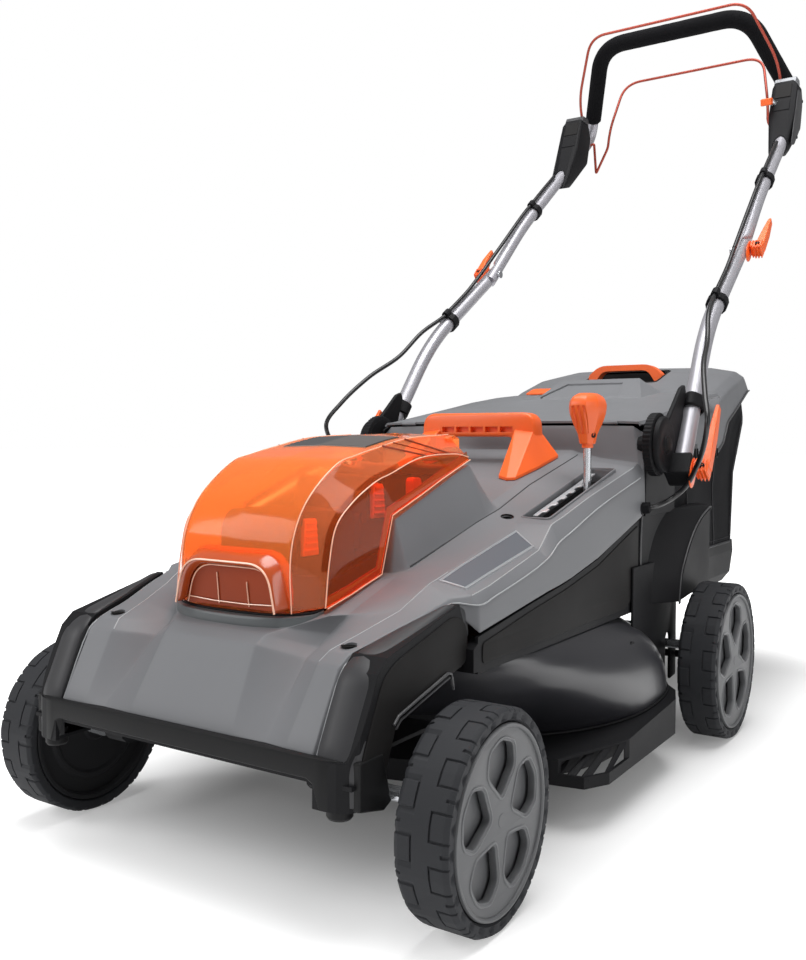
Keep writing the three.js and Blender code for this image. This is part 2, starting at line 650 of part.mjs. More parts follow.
// ---------------------------------------------------------------- grey top cover
// Half rows of the cover, front to rear. Across each row: middle, panel edge, valley, edge of
// the raised shoulder, outer shoulder edge, side fold and lower edge.
const COVER_ROWS = [
  [[0, -386, 146], [60, -385, 146], [95, -377, 146], [118, -387, 146],
    [146, -389, 146], [148, -387.5, 142], [149, -386, 138]],
  [[0, -351, 215], [50, -349, 214], [93, -330, 205], [127, -351, 208],
    [147, -357, 209], [149.5, -356, 205], [150, -355, 199]],
  [[0, -339, 223], [50, -338, 222], [94, -314, 212], [130, -340, 217],
    [148, -345, 217], [151, -344.5, 213], [152, -344, 208]],
  [[0, -322, 226], [62, -322, 226], [97, -300, 222], [136, -300, 228],
    [157, -298, 229], [160.5, -298, 225], [161, -298, 219]],
  [[0, -300, 236], [95, -300, 236], [104, -285, 236], [142, -262, 240],
    [166, -262, 239], [170, -262, 235], [170.5, -262, 229]],
  [[0, -222, 258], [95, -222, 258], [104, -212, 259], [148, -222, 260],
    [173, -228, 249], [177, -228, 244], [178, -228, 238]],
  [[0, -212, 260], [94, -212, 260], [104, -204, 261], [149, -206, 263],
    [187, -212, 251], [194, -212, 242], [195, -211, 218]],
  [[0, -196, 262], [94, -200, 262], [105, -194, 264], [149, -190, 267],
    [188, -196, 253], [194.2, -194, 244], [195.2, -194, 220.5]],
  [[0, -190, 313], [91, -190, 313], [106, -188, 266], [149, -180, 270],
    [188, -180, 256], [194.4, -180, 247], [195.4, -180, 222.5]],
  [[0, -62, 358], [91, -62, 358], [109, -62, 302], [149, -58, 297],
    [184, -66, 278], [194.4, -68, 270], [195.6, -68, 237.5]],
  [[0, -42, 363], [90, -42, 363], [110, -40, 308], [141, -37, 303],
    [183, -34, 302], [194.4, -40, 284], [195.8, -40, 240.5]],
  [[0, -8, 320], [98, -8, 320], [110, -12, 314], [141, -10, 310],
    [183, -8, 308], [194.6, -8, 293], [196, -8, 245]],
  [[0, 65, 342], [99, 65, 342], [110, 65, 338], [141, 65, 328.5],
    [185, 65, 327], [194.8, 65, 314], [196.2, 65, 259]],
  [[0, 200, 374], [100, 200, 374], [110, 200, 370], [141, 200, 362.5],
    [187, 200, 357], [195, 200, 344], [196.4, 200, 295]],
  [[0, 213, 377], [100, 213, 377], [110, 213, 374], [141, 213, 367],
    [187, 213, 362], [195, 213, 350], [196.4, 213, 300]],
  [[0, 215, 409], [100, 215, 409], [110, 215, 409], [141, 215, 409],
    [180, 215, 408], [193, 221, 399], [196.4, 222, 300]],
];

function topCover() {
  const skin = sheet(COVER_ROWS.map(mirrorRow), COVER_T);
  const tower = onBothSides(extrude('x', polygon([
    [216, 300], [332, 300], [332, 424], [232, 411], [217, 404],
  ]), 193, 196.4));
  const bay = block(-BAY.x, BAY.x, BAY.front, BAY.rear, 200, 372);
  const opening = (grow, z0, z1) => sloped(extrude('z', rounded([
    [SLOT.x0 - grow, SLOT.y0 - grow, 5 + grow], [SLOT.x1 + grow, SLOT.y0 - grow, 5 + grow],
    [SLOT.x1 + grow, SLOT.y1 + grow, 5 + grow], [SLOT.x0 - grow, SLOT.y1 + grow, 5 + grow],
  ]), z0, z1, 2), SLOPE);
  const top = shoulderZ(0);
  const slotWall = opening(2.5, top - 16, top - 1.5);
  const screwWell = (x, y, z) => rodAlong('z', 6, z - 3, z + 20, x, y, 12);
  const screwPost = (x, y, z) => rodAlong('z', 8.5, z - 22, z - 2, x, y, 12);
  const screws = [[138, -330, 222], [129, -28, 304]];
  const bossHole = rodAlong('x', PIVOT.boss + GAP, 183, 210, PIVOT.y, PIVOT.z, 16);
  const right = screws.map(([x, y, z]) => screwPost(x, y, z));
  const left = right.map(mirrored);
  const hingePost = join(
    block(46, 57.5, COVER_HINGE.y - 6, COVER_HINGE.y + 6, 350, COVER_HINGE.z),
    rodAlong('x', 6, 46, 57.5, COVER_HINGE.y, COVER_HINGE.z, 14),
    rodAlong('x', 2.5, 50, 76, COVER_HINGE.y, COVER_HINGE.z, 10));
  const gland = rodAlong('x', 7, 192, GLAND.x - 2.5, GLAND.y, GLAND.z, 12);
  const body = join(skin, tower, slotWall, ...right, ...left, onBothSides(join(hingePost, gland)));
  const wells = screws.map(([x, y, z]) => screwWell(x, y, z));
  return cut(body, bay, opening(0, top - 60, top + 60), bossHole, mirrored(bossHole),
    ...wells, ...wells.map(mirrored));
}
add('top_cover', topCover(), GREY);

// ---------------------------------------------------------------- battery cover and bay
// Half rows of the clear cover, front lip to rear: middle, top edge, side edge and lower edge.
const CLEAR_ROWS = [
  [[0, -318, 236.8], [65, -315, 236.8], [90, -299, 242], [91, -297, 241.5]],
  [[0, -320, 280], [65, -317, 280], [90, -294, 279], [92, -280, 246]],
  [[0, -312, 312], [65, -309, 312], [90, -284, 312], [92, -262, 250]],
  [[0, -291, 341], [65, -288, 340], [90, -258, 333], [92, -240, 256]],
  [[0, -252, 367], [65, -250, 366], [90, -222, 350], [92, -214, 262.5]],
  [[0, -222, 376], [65, -220, 374], [90, -196, 357], [92, -196, 317]],
  [[0, -184, 383], [65, -184, 381], [90, -142, 371.5], [92, -142, 335]],
  [[0, -124, 393], [65, -124, 391], [90, -75, 374.5], [92, -100, 350]],
  [[0, -45, 397], [65, -45, 395], [90, -44, 371], [92, -44, 368]],
];

function batteryCover() {
  const skin = sheet(CLEAR_ROWS.map(mirrorRow), 2.5);
  const pull = (inside) => extrude('z', rounded([
    [-60 + inside, -300], [-60 + inside, -332 + inside, 26], [60 - inside, -332 + inside, 26],
    [60 - inside, -300],
  ]), 237.5 + inside, 282 - inside);
  const knuckle = extrude('x', rounded([
    [-62, 391.5, 1], [-60, 378, 4], [-34.5, 378, 4], [-34.5, 392, 4], [-46, 395, 2],
  ]), 58, 74);
  const bore = rodAlong('x', 2.9, 55, 77, COVER_HINGE.y, COVER_HINGE.z, 10);
  const behindPull = block(-70, 70, -311, -290, 230, 290);
  const shell = join(skin, cut(pull(0), behindPull));
  return cut(join(shell, onBothSides(knuckle)), pull(2.5), bore, mirrored(bore));
}
add('battery_cover', batteryCover(), AMBER);

// Two battery packs in line, each in its own step of the bay.
const PACKS = [
  { name: 'front', y0: -288, y1: -192, z0: 250, z1: 322, button: [-266, 300] },
  { name: 'rear', y0: -178, y1: -82, z0: 286, z1: 352, button: [-156, 328] },
];
function batteryBay() {
  const tray = [
    [-295, 240], [-188, 240], [-184, 276], [-56, 276], [-56, 352], [-60, 352], [-60, 280],
    [-188, 280], [-192, 244], [-291, 244], [-291, 268], [-295, 268],
  ];
  const side = [
    [-295, 240], [-188, 240], [-184, 276], [-56, 276], [-56, 352], [-80, 346], [-190, 300],
    [-200, 282], [-295, 258],
  ];
  const post = (x, y, z0, z1) => rodAlong('z', 7, z0, z1, x, y, 10);
  const floorTop = FLOOR.z + FLOOR.thick + GAP;
  const deckTop = CHAMBER.top + DECK.wall + GAP;
  return join(
    extrude('x', polygon(tray), -80, 80),
    extrude('x', polygon(side), 76.5, 80), extrude('x', polygon(side), -80, -76.5),
    post(64, -268, floorTop, 242), post(-64, -268, floorTop, 242),
    post(70, -80, deckTop, 278), post(-70, -80, deckTop, 278),
  );
}
add('battery_bay', batteryBay(), BLACK);

for (const { name, y0, y1, z0, z1, button } of PACKS) {
  const base = z0 - 6 + GAP;
  const pack = join(
    extrude('x', rounded([[y0, base, 3], [y1, base, 3], [y1, z0 + 30, 4], [y0, z0 + 30, 4]]), -40, 40),
    extrude('x', rounded([
      [y0 + 4, z0 + 20], [y1 - 4, z0 + 20], [y1 - 4, z1, 10], [y0 + 14, z1, 10], [y0 + 4, z1 - 16, 6],
    ]), -46, 46));
  const [by, bz] = button;
  const seat = block(38, 50, by - 12.4, by + 12.4, bz - 9.4, bz + 9.4);
  add(`battery_${name}`, cut(pack, seat), BLACK);
  add(`battery_latch_${name}`, extrude('x', rounded([
    [by - 12, bz - 9, 3], [by + 12, bz - 9, 3], [by + 12, bz + 9, 3], [by - 12, bz + 9, 3],
  ]), 41.5, 49.5), ORANGE);
}

// Safety key: an upright blade with a grip, pressed into a socket on the rear pack's side.
const KEY = { x: 62, y: -112, z: 322 };
add('key_socket', cut(
  extrude('z', rounded([
    [KEY.x - 13, KEY.y - 12, 3], [KEY.x + 13, KEY.y - 12, 3], [KEY.x + 13, KEY.y + 12, 3],
    [KEY.x - 13, KEY.y + 12, 3],
  ]), 280 + GAP, KEY.z),
  block(KEY.x - 2.4, KEY.x + 2.4, KEY.y - 7.4, KEY.y + 7.4, 300, KEY.z + 1),
), BLACK);
add('safety_key', join(
  block(KEY.x - 2, KEY.x + 2, KEY.y - 7, KEY.y + 7, 305, KEY.z + 4),
  extrude('x', rounded([
    [KEY.y - 9, KEY.z + 0.5, 2], [KEY.y + 9, KEY.z + 0.5, 2], [KEY.y + 9, KEY.z + 28, 6],
    [KEY.y - 9, KEY.z + 28, 6],
  ]), KEY.x - 4, KEY.x + 4),
), ORANGE);

// ---------------------------------------------------------------- motor and blade
const canBottom = CHAMBER.top + DECK.wall + GAP;
const shaftR = 8;
function motorCan() {
  const profile = [
    [0, canBottom], [MOTOR.r, canBottom], [MOTOR.r, canBottom + MOTOR.height - 10],
    [MOTOR.r - 10, canBottom + MOTOR.height], [0, canBottom + MOTOR.height],
  ];
  const bore = rodAlong('z', shaftR + GAP, canBottom - 1, canBottom + 30, 0, CHAMBER.y, 14);
  const boxOnTop = block(-42, 42, CHAMBER.y - 30, CHAMBER.y + 30, canBottom + MOTOR.height - 2, 236);
  return cut(join(turned('z', profile, 0, CHAMBER.y, 24), boxOnTop), bore);
}
add('motor_can', motorCan(), BLADE_PAINT);

add('motor_shaft', join(
  rodAlong('z', shaftR, BLADE.z + BLADE.thick + GAP, canBottom + 28, 0, CHAMBER.y, 14),
  rodAlong('z', 30, BLADE.z + BLADE.thick + GAP, BLADE.z + 10, 0, CHAMBER.y, 20),
), STEEL);

// Cutting blade with raised air lifts behind both cutting edges.
function blade() {
  const half = BLADE.length / 2;
  const w = BLADE.width / 2;
  const bar = extrude('z', rounded([
    [-half, -w, 3], [half, -w, 3], [half, w, 8], [-half, w, 8],
  ]), BLADE.z, BLADE.z + BLADE.thick);
  const lift = hull([
    [half - 90, w - 14, BLADE.z], [half, w - 14, BLADE.z], [half, w, BLADE.z + 8],
    [half - 60, w, BLADE.z + 8], [half - 90, w - 14, BLADE.z + BLADE.thick],
    [half, w - 14, BLADE.z + BLADE.thick], [half, w - 3, BLADE.z + 11], [half - 60, w - 3, BLADE.z + 11],
  ]);
  const flat = join(bar, lift, lift.rotate([0, 0, 180]));
  const hole = rodAlong('z', 6 + GAP, BLADE.z - 1, BLADE.z + 5, 0, 0, 12);
  return cut(flat, hole).translate([0, CHAMBER.y, 0]);
}
add('blade', blade(), BLADE_PAINT);
add('blade_bolt', join(
  rodAlong('z', 6, BLADE.z - 3, BLADE.z + BLADE.thick, 0, CHAMBER.y, 12),
  rodAlong('z', 12, BLADE.z - 11, BLADE.z - GAP, 0, CHAMBER.y, 6),
), STEEL);

// ---------------------------------------------------------------- carry handle and height lever
const padZ = (y) => (y < 65 ? 342 + (22 / 73) * (y - 65) : 342 + (32 / 135) * (y - 65));
function carryHandle() {
  const top = 420;
  const loop = cut(
    extrude('y', rounded([
      [380, -78, 3], [380, 78, 3], [top, 78, 16], [top, -78, 16],
    ]), 140, 166),
    extrude('y', rounded([
      [370, -53], [370, 53], [396, 53, 9], [396, -53, 9],
    ]), 130, 180));
  const sole = [[67, 72], [80, 63], [90, 66], [97, 120], [99, 172], [86, 178], [62, 172], [58, 140]];
  const foot = hull([
    ...sole.map(([x, y]) => [x, y, padZ(y) + GAP]), ...sole.map(([x, y]) => [x, y, padZ(y) + 3]),
    [53, 140, 384], [53, 166, 384], [78, 140, 384], [78, 166, 384],
  ]);
  return join(loop, onBothSides(foot));
}
add('carry_handle', carryHandle(), ORANGE);

const KNOB = { bottom: 385, top: 445 };
const LEVER_NOTCHES = 6;
add('height_gate', sloped(extrude('z', polygon([
  [172.6, SLOT.y0 + 6], [172.6, SLOT.y1 - 6], [168.5, SLOT.y1 - 6],
  ...Array.from({ length: LEVER_NOTCHES }, (_, i) => {
    const y = 141 - i * 24;
    return [[168.5, y + 6], [172 - 1.5, y + 6], [172 - 1.5, y - 6], [168.5, y - 6]];
  }).flat().map(([x, y]) => [x - (x < 169 ? 2 : 0), y]),
  [168.5, SLOT.y0 + 6],
]), shoulderZ(0) - 9, shoulderZ(0) - 6.5), SLOPE), STEEL);

function leverRod() {
  const rod = rodAlong('z', LEVER.rod, LEVER.z, KNOB.bottom + 30, LEVER.x, LEVER.y, 10);
  const eye = rodAlong('x', 9, LEVER.x - 4.5, LEVER.x + 5.6, LEVER.y, LEVER.z, 14);
  const pin = rodAlong('x', 3, LEVER.x, LEVER.x + 30, LEVER.y, LEVER.z, 10);
  return join(rod, eye, pin);
}
add('height_lever_rod', leverRod(), STEEL);

// Faceted knob with finger ribs, wider across the mower's length at its top.
function leverKnob() {
  const section = (w, d) => [
    [LEVER.x + w, LEVER.y - d * 0.5], [LEVER.x + w, LEVER.y + d * 0.5], [LEVER.x + w * 0.5, LEVER.y + d],
    [LEVER.x - w * 0.5, LEVER.y + d], [LEVER.x - w, LEVER.y + d * 0.5],
    [LEVER.x - w, LEVER.y - d * 0.5], [LEVER.x - w * 0.5, LEVER.y - d], [LEVER.x + w * 0.5, LEVER.y - d],
  ];
  const { bottom, top } = KNOB;
  const body = loft('z', [
    [bottom, section(9, 12)], [bottom + 14, section(14, 20)], [top - 16, section(15, 23)],
    [top, section(9, 15)],
  ]);
  const rib = (z) => block(LEVER.x - 11, LEVER.x + 11, LEVER.y - 24, LEVER.y - 16, z, z + 3);
  const bore = rodAlong('z', LEVER.rod + GAP, bottom - 1, bottom + 30 + GAP, LEVER.x, LEVER.y, 10);
  return cut(body, bore, rib(bottom + 20), rib(bottom + 28), rib(bottom + 36));
}
add('height_lever_knob', leverKnob(), ORANGE);

// ---------------------------------------------------------------- rear flap
const FLAP_HINGE = { y: 213.6, z: 411.3 };
const flapRow = (y, z, hump, sideDrop = 2.5) => [
  [0, y, z + hump], [66, y, z + hump], [99, y, z], [150, y, z], [187, y, z - sideDrop],
  [190.5, y, z - sideDrop - 4],
];
function rearFlap() {
  const rows = [
    flapRow(214.4, 414.8, 0, 1.5), flapRow(232, 417.5, 0), flapRow(400, 443, 0), flapRow(466, 453.5, 0),
    flapRow(474, 454.7, 5), flapRow(560, 466, 23.5, 3), flapRow(568, 465.5, 22, 4),
  ];
  const skin = sheet(rows.map(mirrorRow), 3);
  const emboss = hull([
    [-47, 539, 475], [47, 539, 475], [68, 463, 437], [-68, 463, 437],
    [-44, 539, 520], [44, 539, 520], [64, 463, 500], [-64, 463, 500],
  ]);
  const shadow = sheet(rows.slice(3, 6).map((row) => mirrorRow(row).map(
    (p) => p.add(new THREE.Vector3(0, 0, -2.6)))), 3);
  const recessed = join(skin, common(shadow, emboss));
  const above = sheet(rows.slice(3, 6).map((row) => mirrorRow(row).map(
    (p) => p.add(new THREE.Vector3(0, 0, 8)))), 10.4);
  const knuckle = rodAlong('x', 2.2, 138, 160, FLAP_HINGE.y + 1.2, FLAP_HINGE.z + 1, 8);
  return join(cut(recessed, common(above, emboss)), onBothSides(knuckle));
}
add('rear_flap', rearFlap(), BLACK);

// ---------------------------------------------------------------- grass catcher
const LID_ROWS = [
  [[0, 342, 422], [120, 342, 422], [170, 342, 420], [184, 342, 412], [187, 342, 372]],
  [[0, 571, 459], [120, 571, 457], [166, 571, 446], [180, 569, 433], [187, 566, 372]],
  [[0, 600, 474], [120, 600, 473], [170, 600, 466], [184, 600, 455], [187, 600, 388]],
  [[0, 625, 483], [120, 625, 482], [170, 625, 475], [184, 625, 466], [187, 625, 420]],
  [[0, 702, 508], [120, 702, 506], [168, 702, 498], [182, 702, 486], [186, 702, 452]],
  [[0, 765, 520], [120, 765, 517], [162, 765, 509], [176, 765, 499], [182, 765, 474]],
  [[0, 800, 515], [115, 800, 512], [155, 800, 505], [170, 799, 494], [176, 798, 477]],
  [[0, 822, 500], [105, 820, 498], [140, 817, 494], [155, 814, 487], [160, 811, 478]],
  [[0, 826, 483], [103, 824, 481], [136, 820, 480], [150, 816, 479], [153, 813, 478]],
];
const LID_T = 3;
const HOLD = { x: 65, y0: 640, y1: 720 }; // recess of the carry loop in the lid

function catcherLid() {
  const pocket = (grow) => extrude('x', rounded([
    [HOLD.y0 - grow, 470 - grow, 6], [HOLD.y1 + grow, 486 - grow, 6],
    [HOLD.y1 + grow, grow > 0 ? 510 : 540, 0], [HOLD.y0 - grow, grow > 0 ? 484 : 520, 0],
  ]), -HOLD.x - grow, HOLD.x + grow);
  const skin = sheet(LID_ROWS.map(mirrorRow), LID_T);
  return cut(join(skin, pocket(LID_T)), pocket(0));
}
add('catcher_lid', catcherLid(), GREY);

add('catcher_handle', extrude('y', rounded([
  [489, -64.6], [503, -64.6, 4], [520, -46, 14], [520, 46, 14], [503, 64.6, 4], [489, 64.6],
  [489, 54, 2], [510, 40, 10], [510, -40, 10], [489, -54, 2],
]), 671, 691), ORANGE);

const INDICATOR = { y: 586, slope: 0.423 };
add('fill_indicator', sloped(extrude('z', rounded([
  [-144, 584, 3], [-96, 584, 3], [-100, 606, 6], [-140, 606, 6],
]), 463.5 - 574 * INDICATOR.slope, 466 - 574 * INDICATOR.slope), INDICATOR.slope), ORANGE);

// Side outline of the fabric, whose upper edge follows the lower edge of the lid.
const BAG = { x: 186, wall: 2.5, front: 348 };
const BAG_UNDER = [[652, 229.5], [664, 340], [727, 432], [790, 455], [809, 474]];
const BAG_TOP = [[798, 475.5], [765, 472.5], [702, 450.5], [625, 418.5], [600, 386.5], [565, 370.5]];
function catcherBag() {
  const outline = [[BAG.front, 229.5], ...BAG_UNDER, ...BAG_TOP, [BAG.front, 370.5]];
  const inside = [
    [BAG.front - 5, 232], ...BAG_UNDER.map(([y, z]) => [y - 2.6, z + 2.2]),
    ...BAG_TOP.map(([y, z]) => [y, z + 12]), [BAG.front - 5, 382],
  ];
  const taper = hull([
    [BAG.x, 300, 200], [-BAG.x, 300, 200], [BAG.x, 300, 500], [-BAG.x, 300, 500],
    [BAG.x, 720, 200], [-BAG.x, 720, 200], [BAG.x - 2, 720, 500], [-BAG.x + 2, 720, 500],
    [158, 812, 200], [-158, 812, 200], [158, 812, 500], [-158, 812, 500],
  ]);
  const hollow = hull([
    [BAG.x - 2.5, 300, 200], [-BAG.x + 2.5, 300, 200], [BAG.x - 2.5, 300, 500],
    [-BAG.x + 2.5, 300, 500], [BAG.x - 2.5, 719, 200], [-BAG.x + 2.5, 719, 200],
    [BAG.x - 4.5, 719, 500], [-BAG.x + 4.5, 719, 500],
    [155, 809, 200], [-155, 809, 200], [155, 809, 500], [-155, 809, 500],
  ]);
  const outer = common(extrude('x', polygon(outline), -BAG.x, BAG.x), taper);
  return cut(outer, common(extrude('x', polygon(inside), -BAG.x, BAG.x), hollow));
}
add('catcher_bag', catcherBag(), FABRIC);

// Hard tray under the bag, with a bulge that reaches out behind it.
function catcherBase() {
  // height, half width, front edge, rear edge and corner radius
  const levels = [
    [163, 170, 420, 690, 24], [178, 180, 398, 706, 30], [212, 181, 366, 711, 22],
    [228.8, 180, 352, 700, 12],
  ];
  const section = (wall) => levels.map(([z, x, y0, y1, r], i) => [
    i === 0 ? z + wall : z + (i === levels.length - 1 ? wall : 0),
    roundRect(x - wall, y0 + wall, y1 - wall, Math.max(r - wall, 3), 4),
  ]);
  return cut(loft('z', section(0)), loft('z', section(3)));
}
add('catcher_base', catcherBase(), BLACK);

// ---------------------------------------------------------------- folding handle
const TUBE_BORE = TUBE_R + 1; // bore of the clips and collars that grip a tube
const lowerPath = [
  [BASE.x, BASE.y, BASE.z], [BEND.x, BEND.y, BEND.z, 60], [JOINT.x, JOINT.y, JOINT.z],
];
const UPPER = {
  bend: [210, 700, 785, 50], low: [204, 1012, 1022, 34],
  corner: [GRIP.topX, GRIP.topY, GRIP.topZ, 46],
};
const upperHalf = [[JOINT.x, JOINT.y, JOINT.z], UPPER.bend, UPPER.low, UPPER.corner];
const flipped = ([x, ...rest]) => [-x, ...rest];
const loopPath = [...upperHalf, ...[...upperHalf].reverse().map(flipped)];

// The point `reach` mm before `from` on the line that leads on to `to`.
function pointBefore(from, to, reach) {
  const start = vec(from);
  return start.addScaledVector(vec(to).sub(start).normalize(), -reach).toArray();
}

// Places a body drawn along z, with its x kept across the mower, onto a tube: its origin goes to
// `origin` moved `along` mm towards `target`.
function onTube(body, origin, target, along) {
  const z = vec(target).sub(vec(origin)).normalize();
  const y = z.clone().cross(new THREE.Vector3(1, 0, 0)).normalize();
  const x = y.clone().cross(z);
  const at = vec(origin).addScaledVector(z, along);
  return body.transform(new THREE.Matrix4().makeBasis(x, y, z).setPosition(at).toArray());
}

const lapCut = (x0, x1) => rodAlong('x', 29, x0, x1, JOINT.y, JOINT.z, 20);
const LAP_END = 19;

function lowerTube() {
  const beyond = pointBefore(lowerPath[2], lowerPath[1], LAP_END);
  const tube = swept(bentPath([lowerPath[0], lowerPath[1], beyond], 5), TUBE_R);
  const hole = rodAlong('x', 3.8, JOINT.x - 20, JOINT.x + 20, JOINT.y, JOINT.z, 10);
  return cut(tube, lapCut(JOINT.x - 20, JOINT.x + 0.2), hole);
}
add('lower_tube_left', lowerTube(), GREY);
add('lower_tube_right', mirrored(lowerTube()), GREY);

// Bracket plate that turns on the toothed disc and clamps the foot of a lower tube.
function handleBracket() {
  const plate = hull([PIVOT.r - 4, 18, 16].flatMap((r, i) => {
    const [y, z] = [[PIVOT.y, PIVOT.z], [BASE.y, BASE.z], [310, 437]][i];
    return Array.from({ length: 16 }, (_, k) => {
      const angle = (k / 16) * Math.PI * 2;
      return [y + r * Math.cos(angle), z + r * Math.sin(angle)];
    }).flatMap(([u, v]) => [[DISC_FACE, u, v], [DISC_FACE + 6, u, v]]);
  }));
  const place = (body, along) => onTube(body, lowerPath[0], lowerPath[1], along);
  const foot = place(block(-16.5, 15, -15, 15, -14, 18), 0);
  const collar = place(block(-12, 14, -14, 14, 0, 20), 95);
  const bore = place(rodAlong('z', TUBE_BORE, -GAP, 140, 0, 0, 12), 0);
  const bolt = rodAlong('x', 9, DISC_FACE + 5, DISC_FACE + 12, PIVOT.y, PIVOT.z, 6);
  return join(cut(join(plate, foot, collar), bore), bolt);
}
add('handle_bracket_left', handleBracket(), BLACK);
add('handle_bracket_right', mirrored(handleBracket()), BLACK);

// Quick-release cam lever with a slim tapering blade; it lies along a tube, on its outer side.
function camLever(x0, length) {
  const head = rodAlong('y', 11, -9, 9, 0, x0 + 11, 14);
  const arm = hull([
    [x0 + 3, -9, 0], [x0 + 3, 9, 0], [x0 + 21, -9, 0], [x0 + 21, 9, 0],
    [x0 + 12, -12, length * 0.6], [x0 + 12, 12, length * 0.6], [x0 + 20, -12, length * 0.6],
    [x0 + 20, 12, length * 0.6], [x0 + 16, -7, length], [x0 + 16, 7, length],
    [x0 + 20, -7, length], [x0 + 20, 7, length],
  ]);
  return join(head, arm);
}
const baseCam = onTube(camLever(15.5, 100), lowerPath[0], lowerPath[1], 0);
add('base_cam_left', baseCam, ORANGE);
add('base_cam_right', mirrored(baseCam), ORANGE);
const jointCam = onTube(camLever(13, 88), upperHalf[0], upperHalf[1], 0);
add('joint_cam_left', jointCam, ORANGE);
add('joint_cam_right', mirrored(jointCam), ORANGE);

function upperHandle() {
  const start = pointBefore(upperHalf[0], upperHalf[1], LAP_END);
  const path = bentPath([start, ...loopPath.slice(1, -1), flipped(start)], 5);
  const bolt = rodAlong('x', 3.5, JOINT.x - 5, JOINT.x + 12.5, JOINT.y, JOINT.z, 10);
  const lap = lapCut(JOINT.x - 0.2, JOINT.x + 20);
  return join(cut(swept(path, TUBE_R), lap, mirrored(lap)), bolt, mirrored(bolt));
}
add('upper_handle', upperHandle(), GREY);

// Soft grip over the closed end of the loop.
const lerp = (a, b, t) => vec(a).lerp(vec(b), t).toArray();
function foamGrip() {
  const low = lerp(UPPER.low, UPPER.corner, 0.2);
  const lower = lerp(UPPER.low, UPPER.corner, 0.19);
  const over = (start) => bentPath(
    [start, UPPER.corner, flipped(UPPER.corner), flipped(start)], 5);
  return cut(swept(over(low), FOAM_R), swept(over(lower), TUBE_BORE));
}
add('foam_grip', foamGrip(), FOAM);

// Housing that stands on one leg of the loop; the tube passes through its lower half.
const BOX = { x0: 178, x1: 226 };
const BAIL = { y: 936, z: 1012 };
const DRIVE_BAIL = { y: 985, z: 1002 };
const legPath = [UPPER.bend, UPPER.low];
const legBore = onTube(rodAlong('z', TUBE_BORE, 60, 330, 0, 0, 12), legPath[0], legPath[1], 0);
function handleBox(faceted) {
  const side = [
    [846, 884, 4], [876, 892, 4], [944, 950, 8], [962, 1012, 8], [950, 1036, 4], [914, 1036, 8],
    [884, 968, 12],
  ];
  const inset = faceted ? 9 : 4;
  const body = hull([
    ...side.flatMap(([y, z]) => [[BOX.x0 + inset, y, z], [BOX.x1 - inset, y, z]]),
    ...side.map(([y, z]) => [y + (908 - y) * 0.13, z + (966 - z) * 0.13])
      .flatMap(([y, z]) => [[BOX.x0, y, z], [BOX.x1, y, z]]),
  ]);
  const bailHole = rodAlong('x', BAIL_R + GAP, BOX.x0 - 5, BOX.x0 + 14, BAIL.y, BAIL.z, 10);
  return cut(body, legBore, bailHole);
}

// Bail bars: each is one bent rod whose ends turn in the two housings.
const bailRod = (pivot, inner, shoulder, corner) => swept(bentPath([
  [inner, pivot.y, pivot.z], [shoulder, pivot.y, pivot.z, 5], [...corner, 26],
  [-corner[0], corner[1], corner[2], 26], [-shoulder, pivot.y, pivot.z, 5],
  [-inner, pivot.y, pivot.z],
], 4), BAIL_R, 8);

const button = { y: 890, z: 990 };
const buttonAxis = [-0.9, 0.43]; // (y, z) direction that the start button faces
function buttonBody(r, from, to) {
  const facing = new THREE.Vector3(0, ...buttonAxis).normalize();
  const origin = [196, button.y, button.z];
  return onTube(rodAlong('z', r, from, to, 0, 0, 16), origin,
    vec(origin).add(facing).toArray(), 0);
}
add('switch_box', cut(join(handleBox(false), buttonBody(13, -14, 6)), buttonBody(10.4, -10.5, 8)), BLACK);
add('start_button', buttonBody(10, -5.5, 7.5), ORANGE);
add('drive_box', mirrored(handleBox(true)), BLACK);
add('blade_bail', bailRod(BAIL, BOX.x0 + 12, 170, [146, 863, 1172]), COPPER);
add('drive_bail', bailRod(DRIVE_BAIL, 193, 182, [137, 1028, 1129]), STEEL);

// ---------------------------------------------------------------- clips and cables
const CABLE_R = 3.2;
const JOINT_POINT = upperHalf[0];
const RISE = -(TUBE_R + 5.6); // from the middle of a tube up to the cable on its front side
const lowerLeg = [lowerPath[1], lowerPath[2]];
const upperLeg = [UPPER.bend, UPPER.low];
const CLIPS = { lower: 62, upper: 52 };
const FOLD_RISE = 4.6; // how much higher the cable passes the fold joint

// Band round a tube with an eye for the cable on its upper side.
function clip([origin, target], along) {
  const ring = rodAlong('z', 15, 0, 14, 0, 0, 14);
  const eye = rodAlong('z', CABLE_R + 2.6, 0, 14, 0, RISE, 10);
  const bore = rodAlong('z', TUBE_BORE, -1, 15, 0, 0, 12);
  const eyeBore = rodAlong('z', CABLE_R + 0.7, -1, 15, 0, RISE, 8);
  return onTube(cut(join(ring, eye), bore, eyeBore), origin, target, along);
}
for (const [stage, leg] of [['lower', lowerLeg], ['upper', upperLeg]]) {
  const body = clip(leg, CLIPS[stage]);
  add(`cable_clip_${stage}_left`, body, BLACK);
  add(`cable_clip_${stage}_right`, mirrored(body), BLACK);
}

// The point on the upper side of a tube leg, `along` mm from its start, `rise` mm off its middle.
function beside([origin, target], along, rise = RISE) {
  const z = vec(target).sub(vec(origin)).normalize();
  const y = z.clone().cross(new THREE.Vector3(1, 0, 0)).normalize();
  return vec(origin).addScaledVector(z, along).addScaledVector(y, rise).toArray();
}
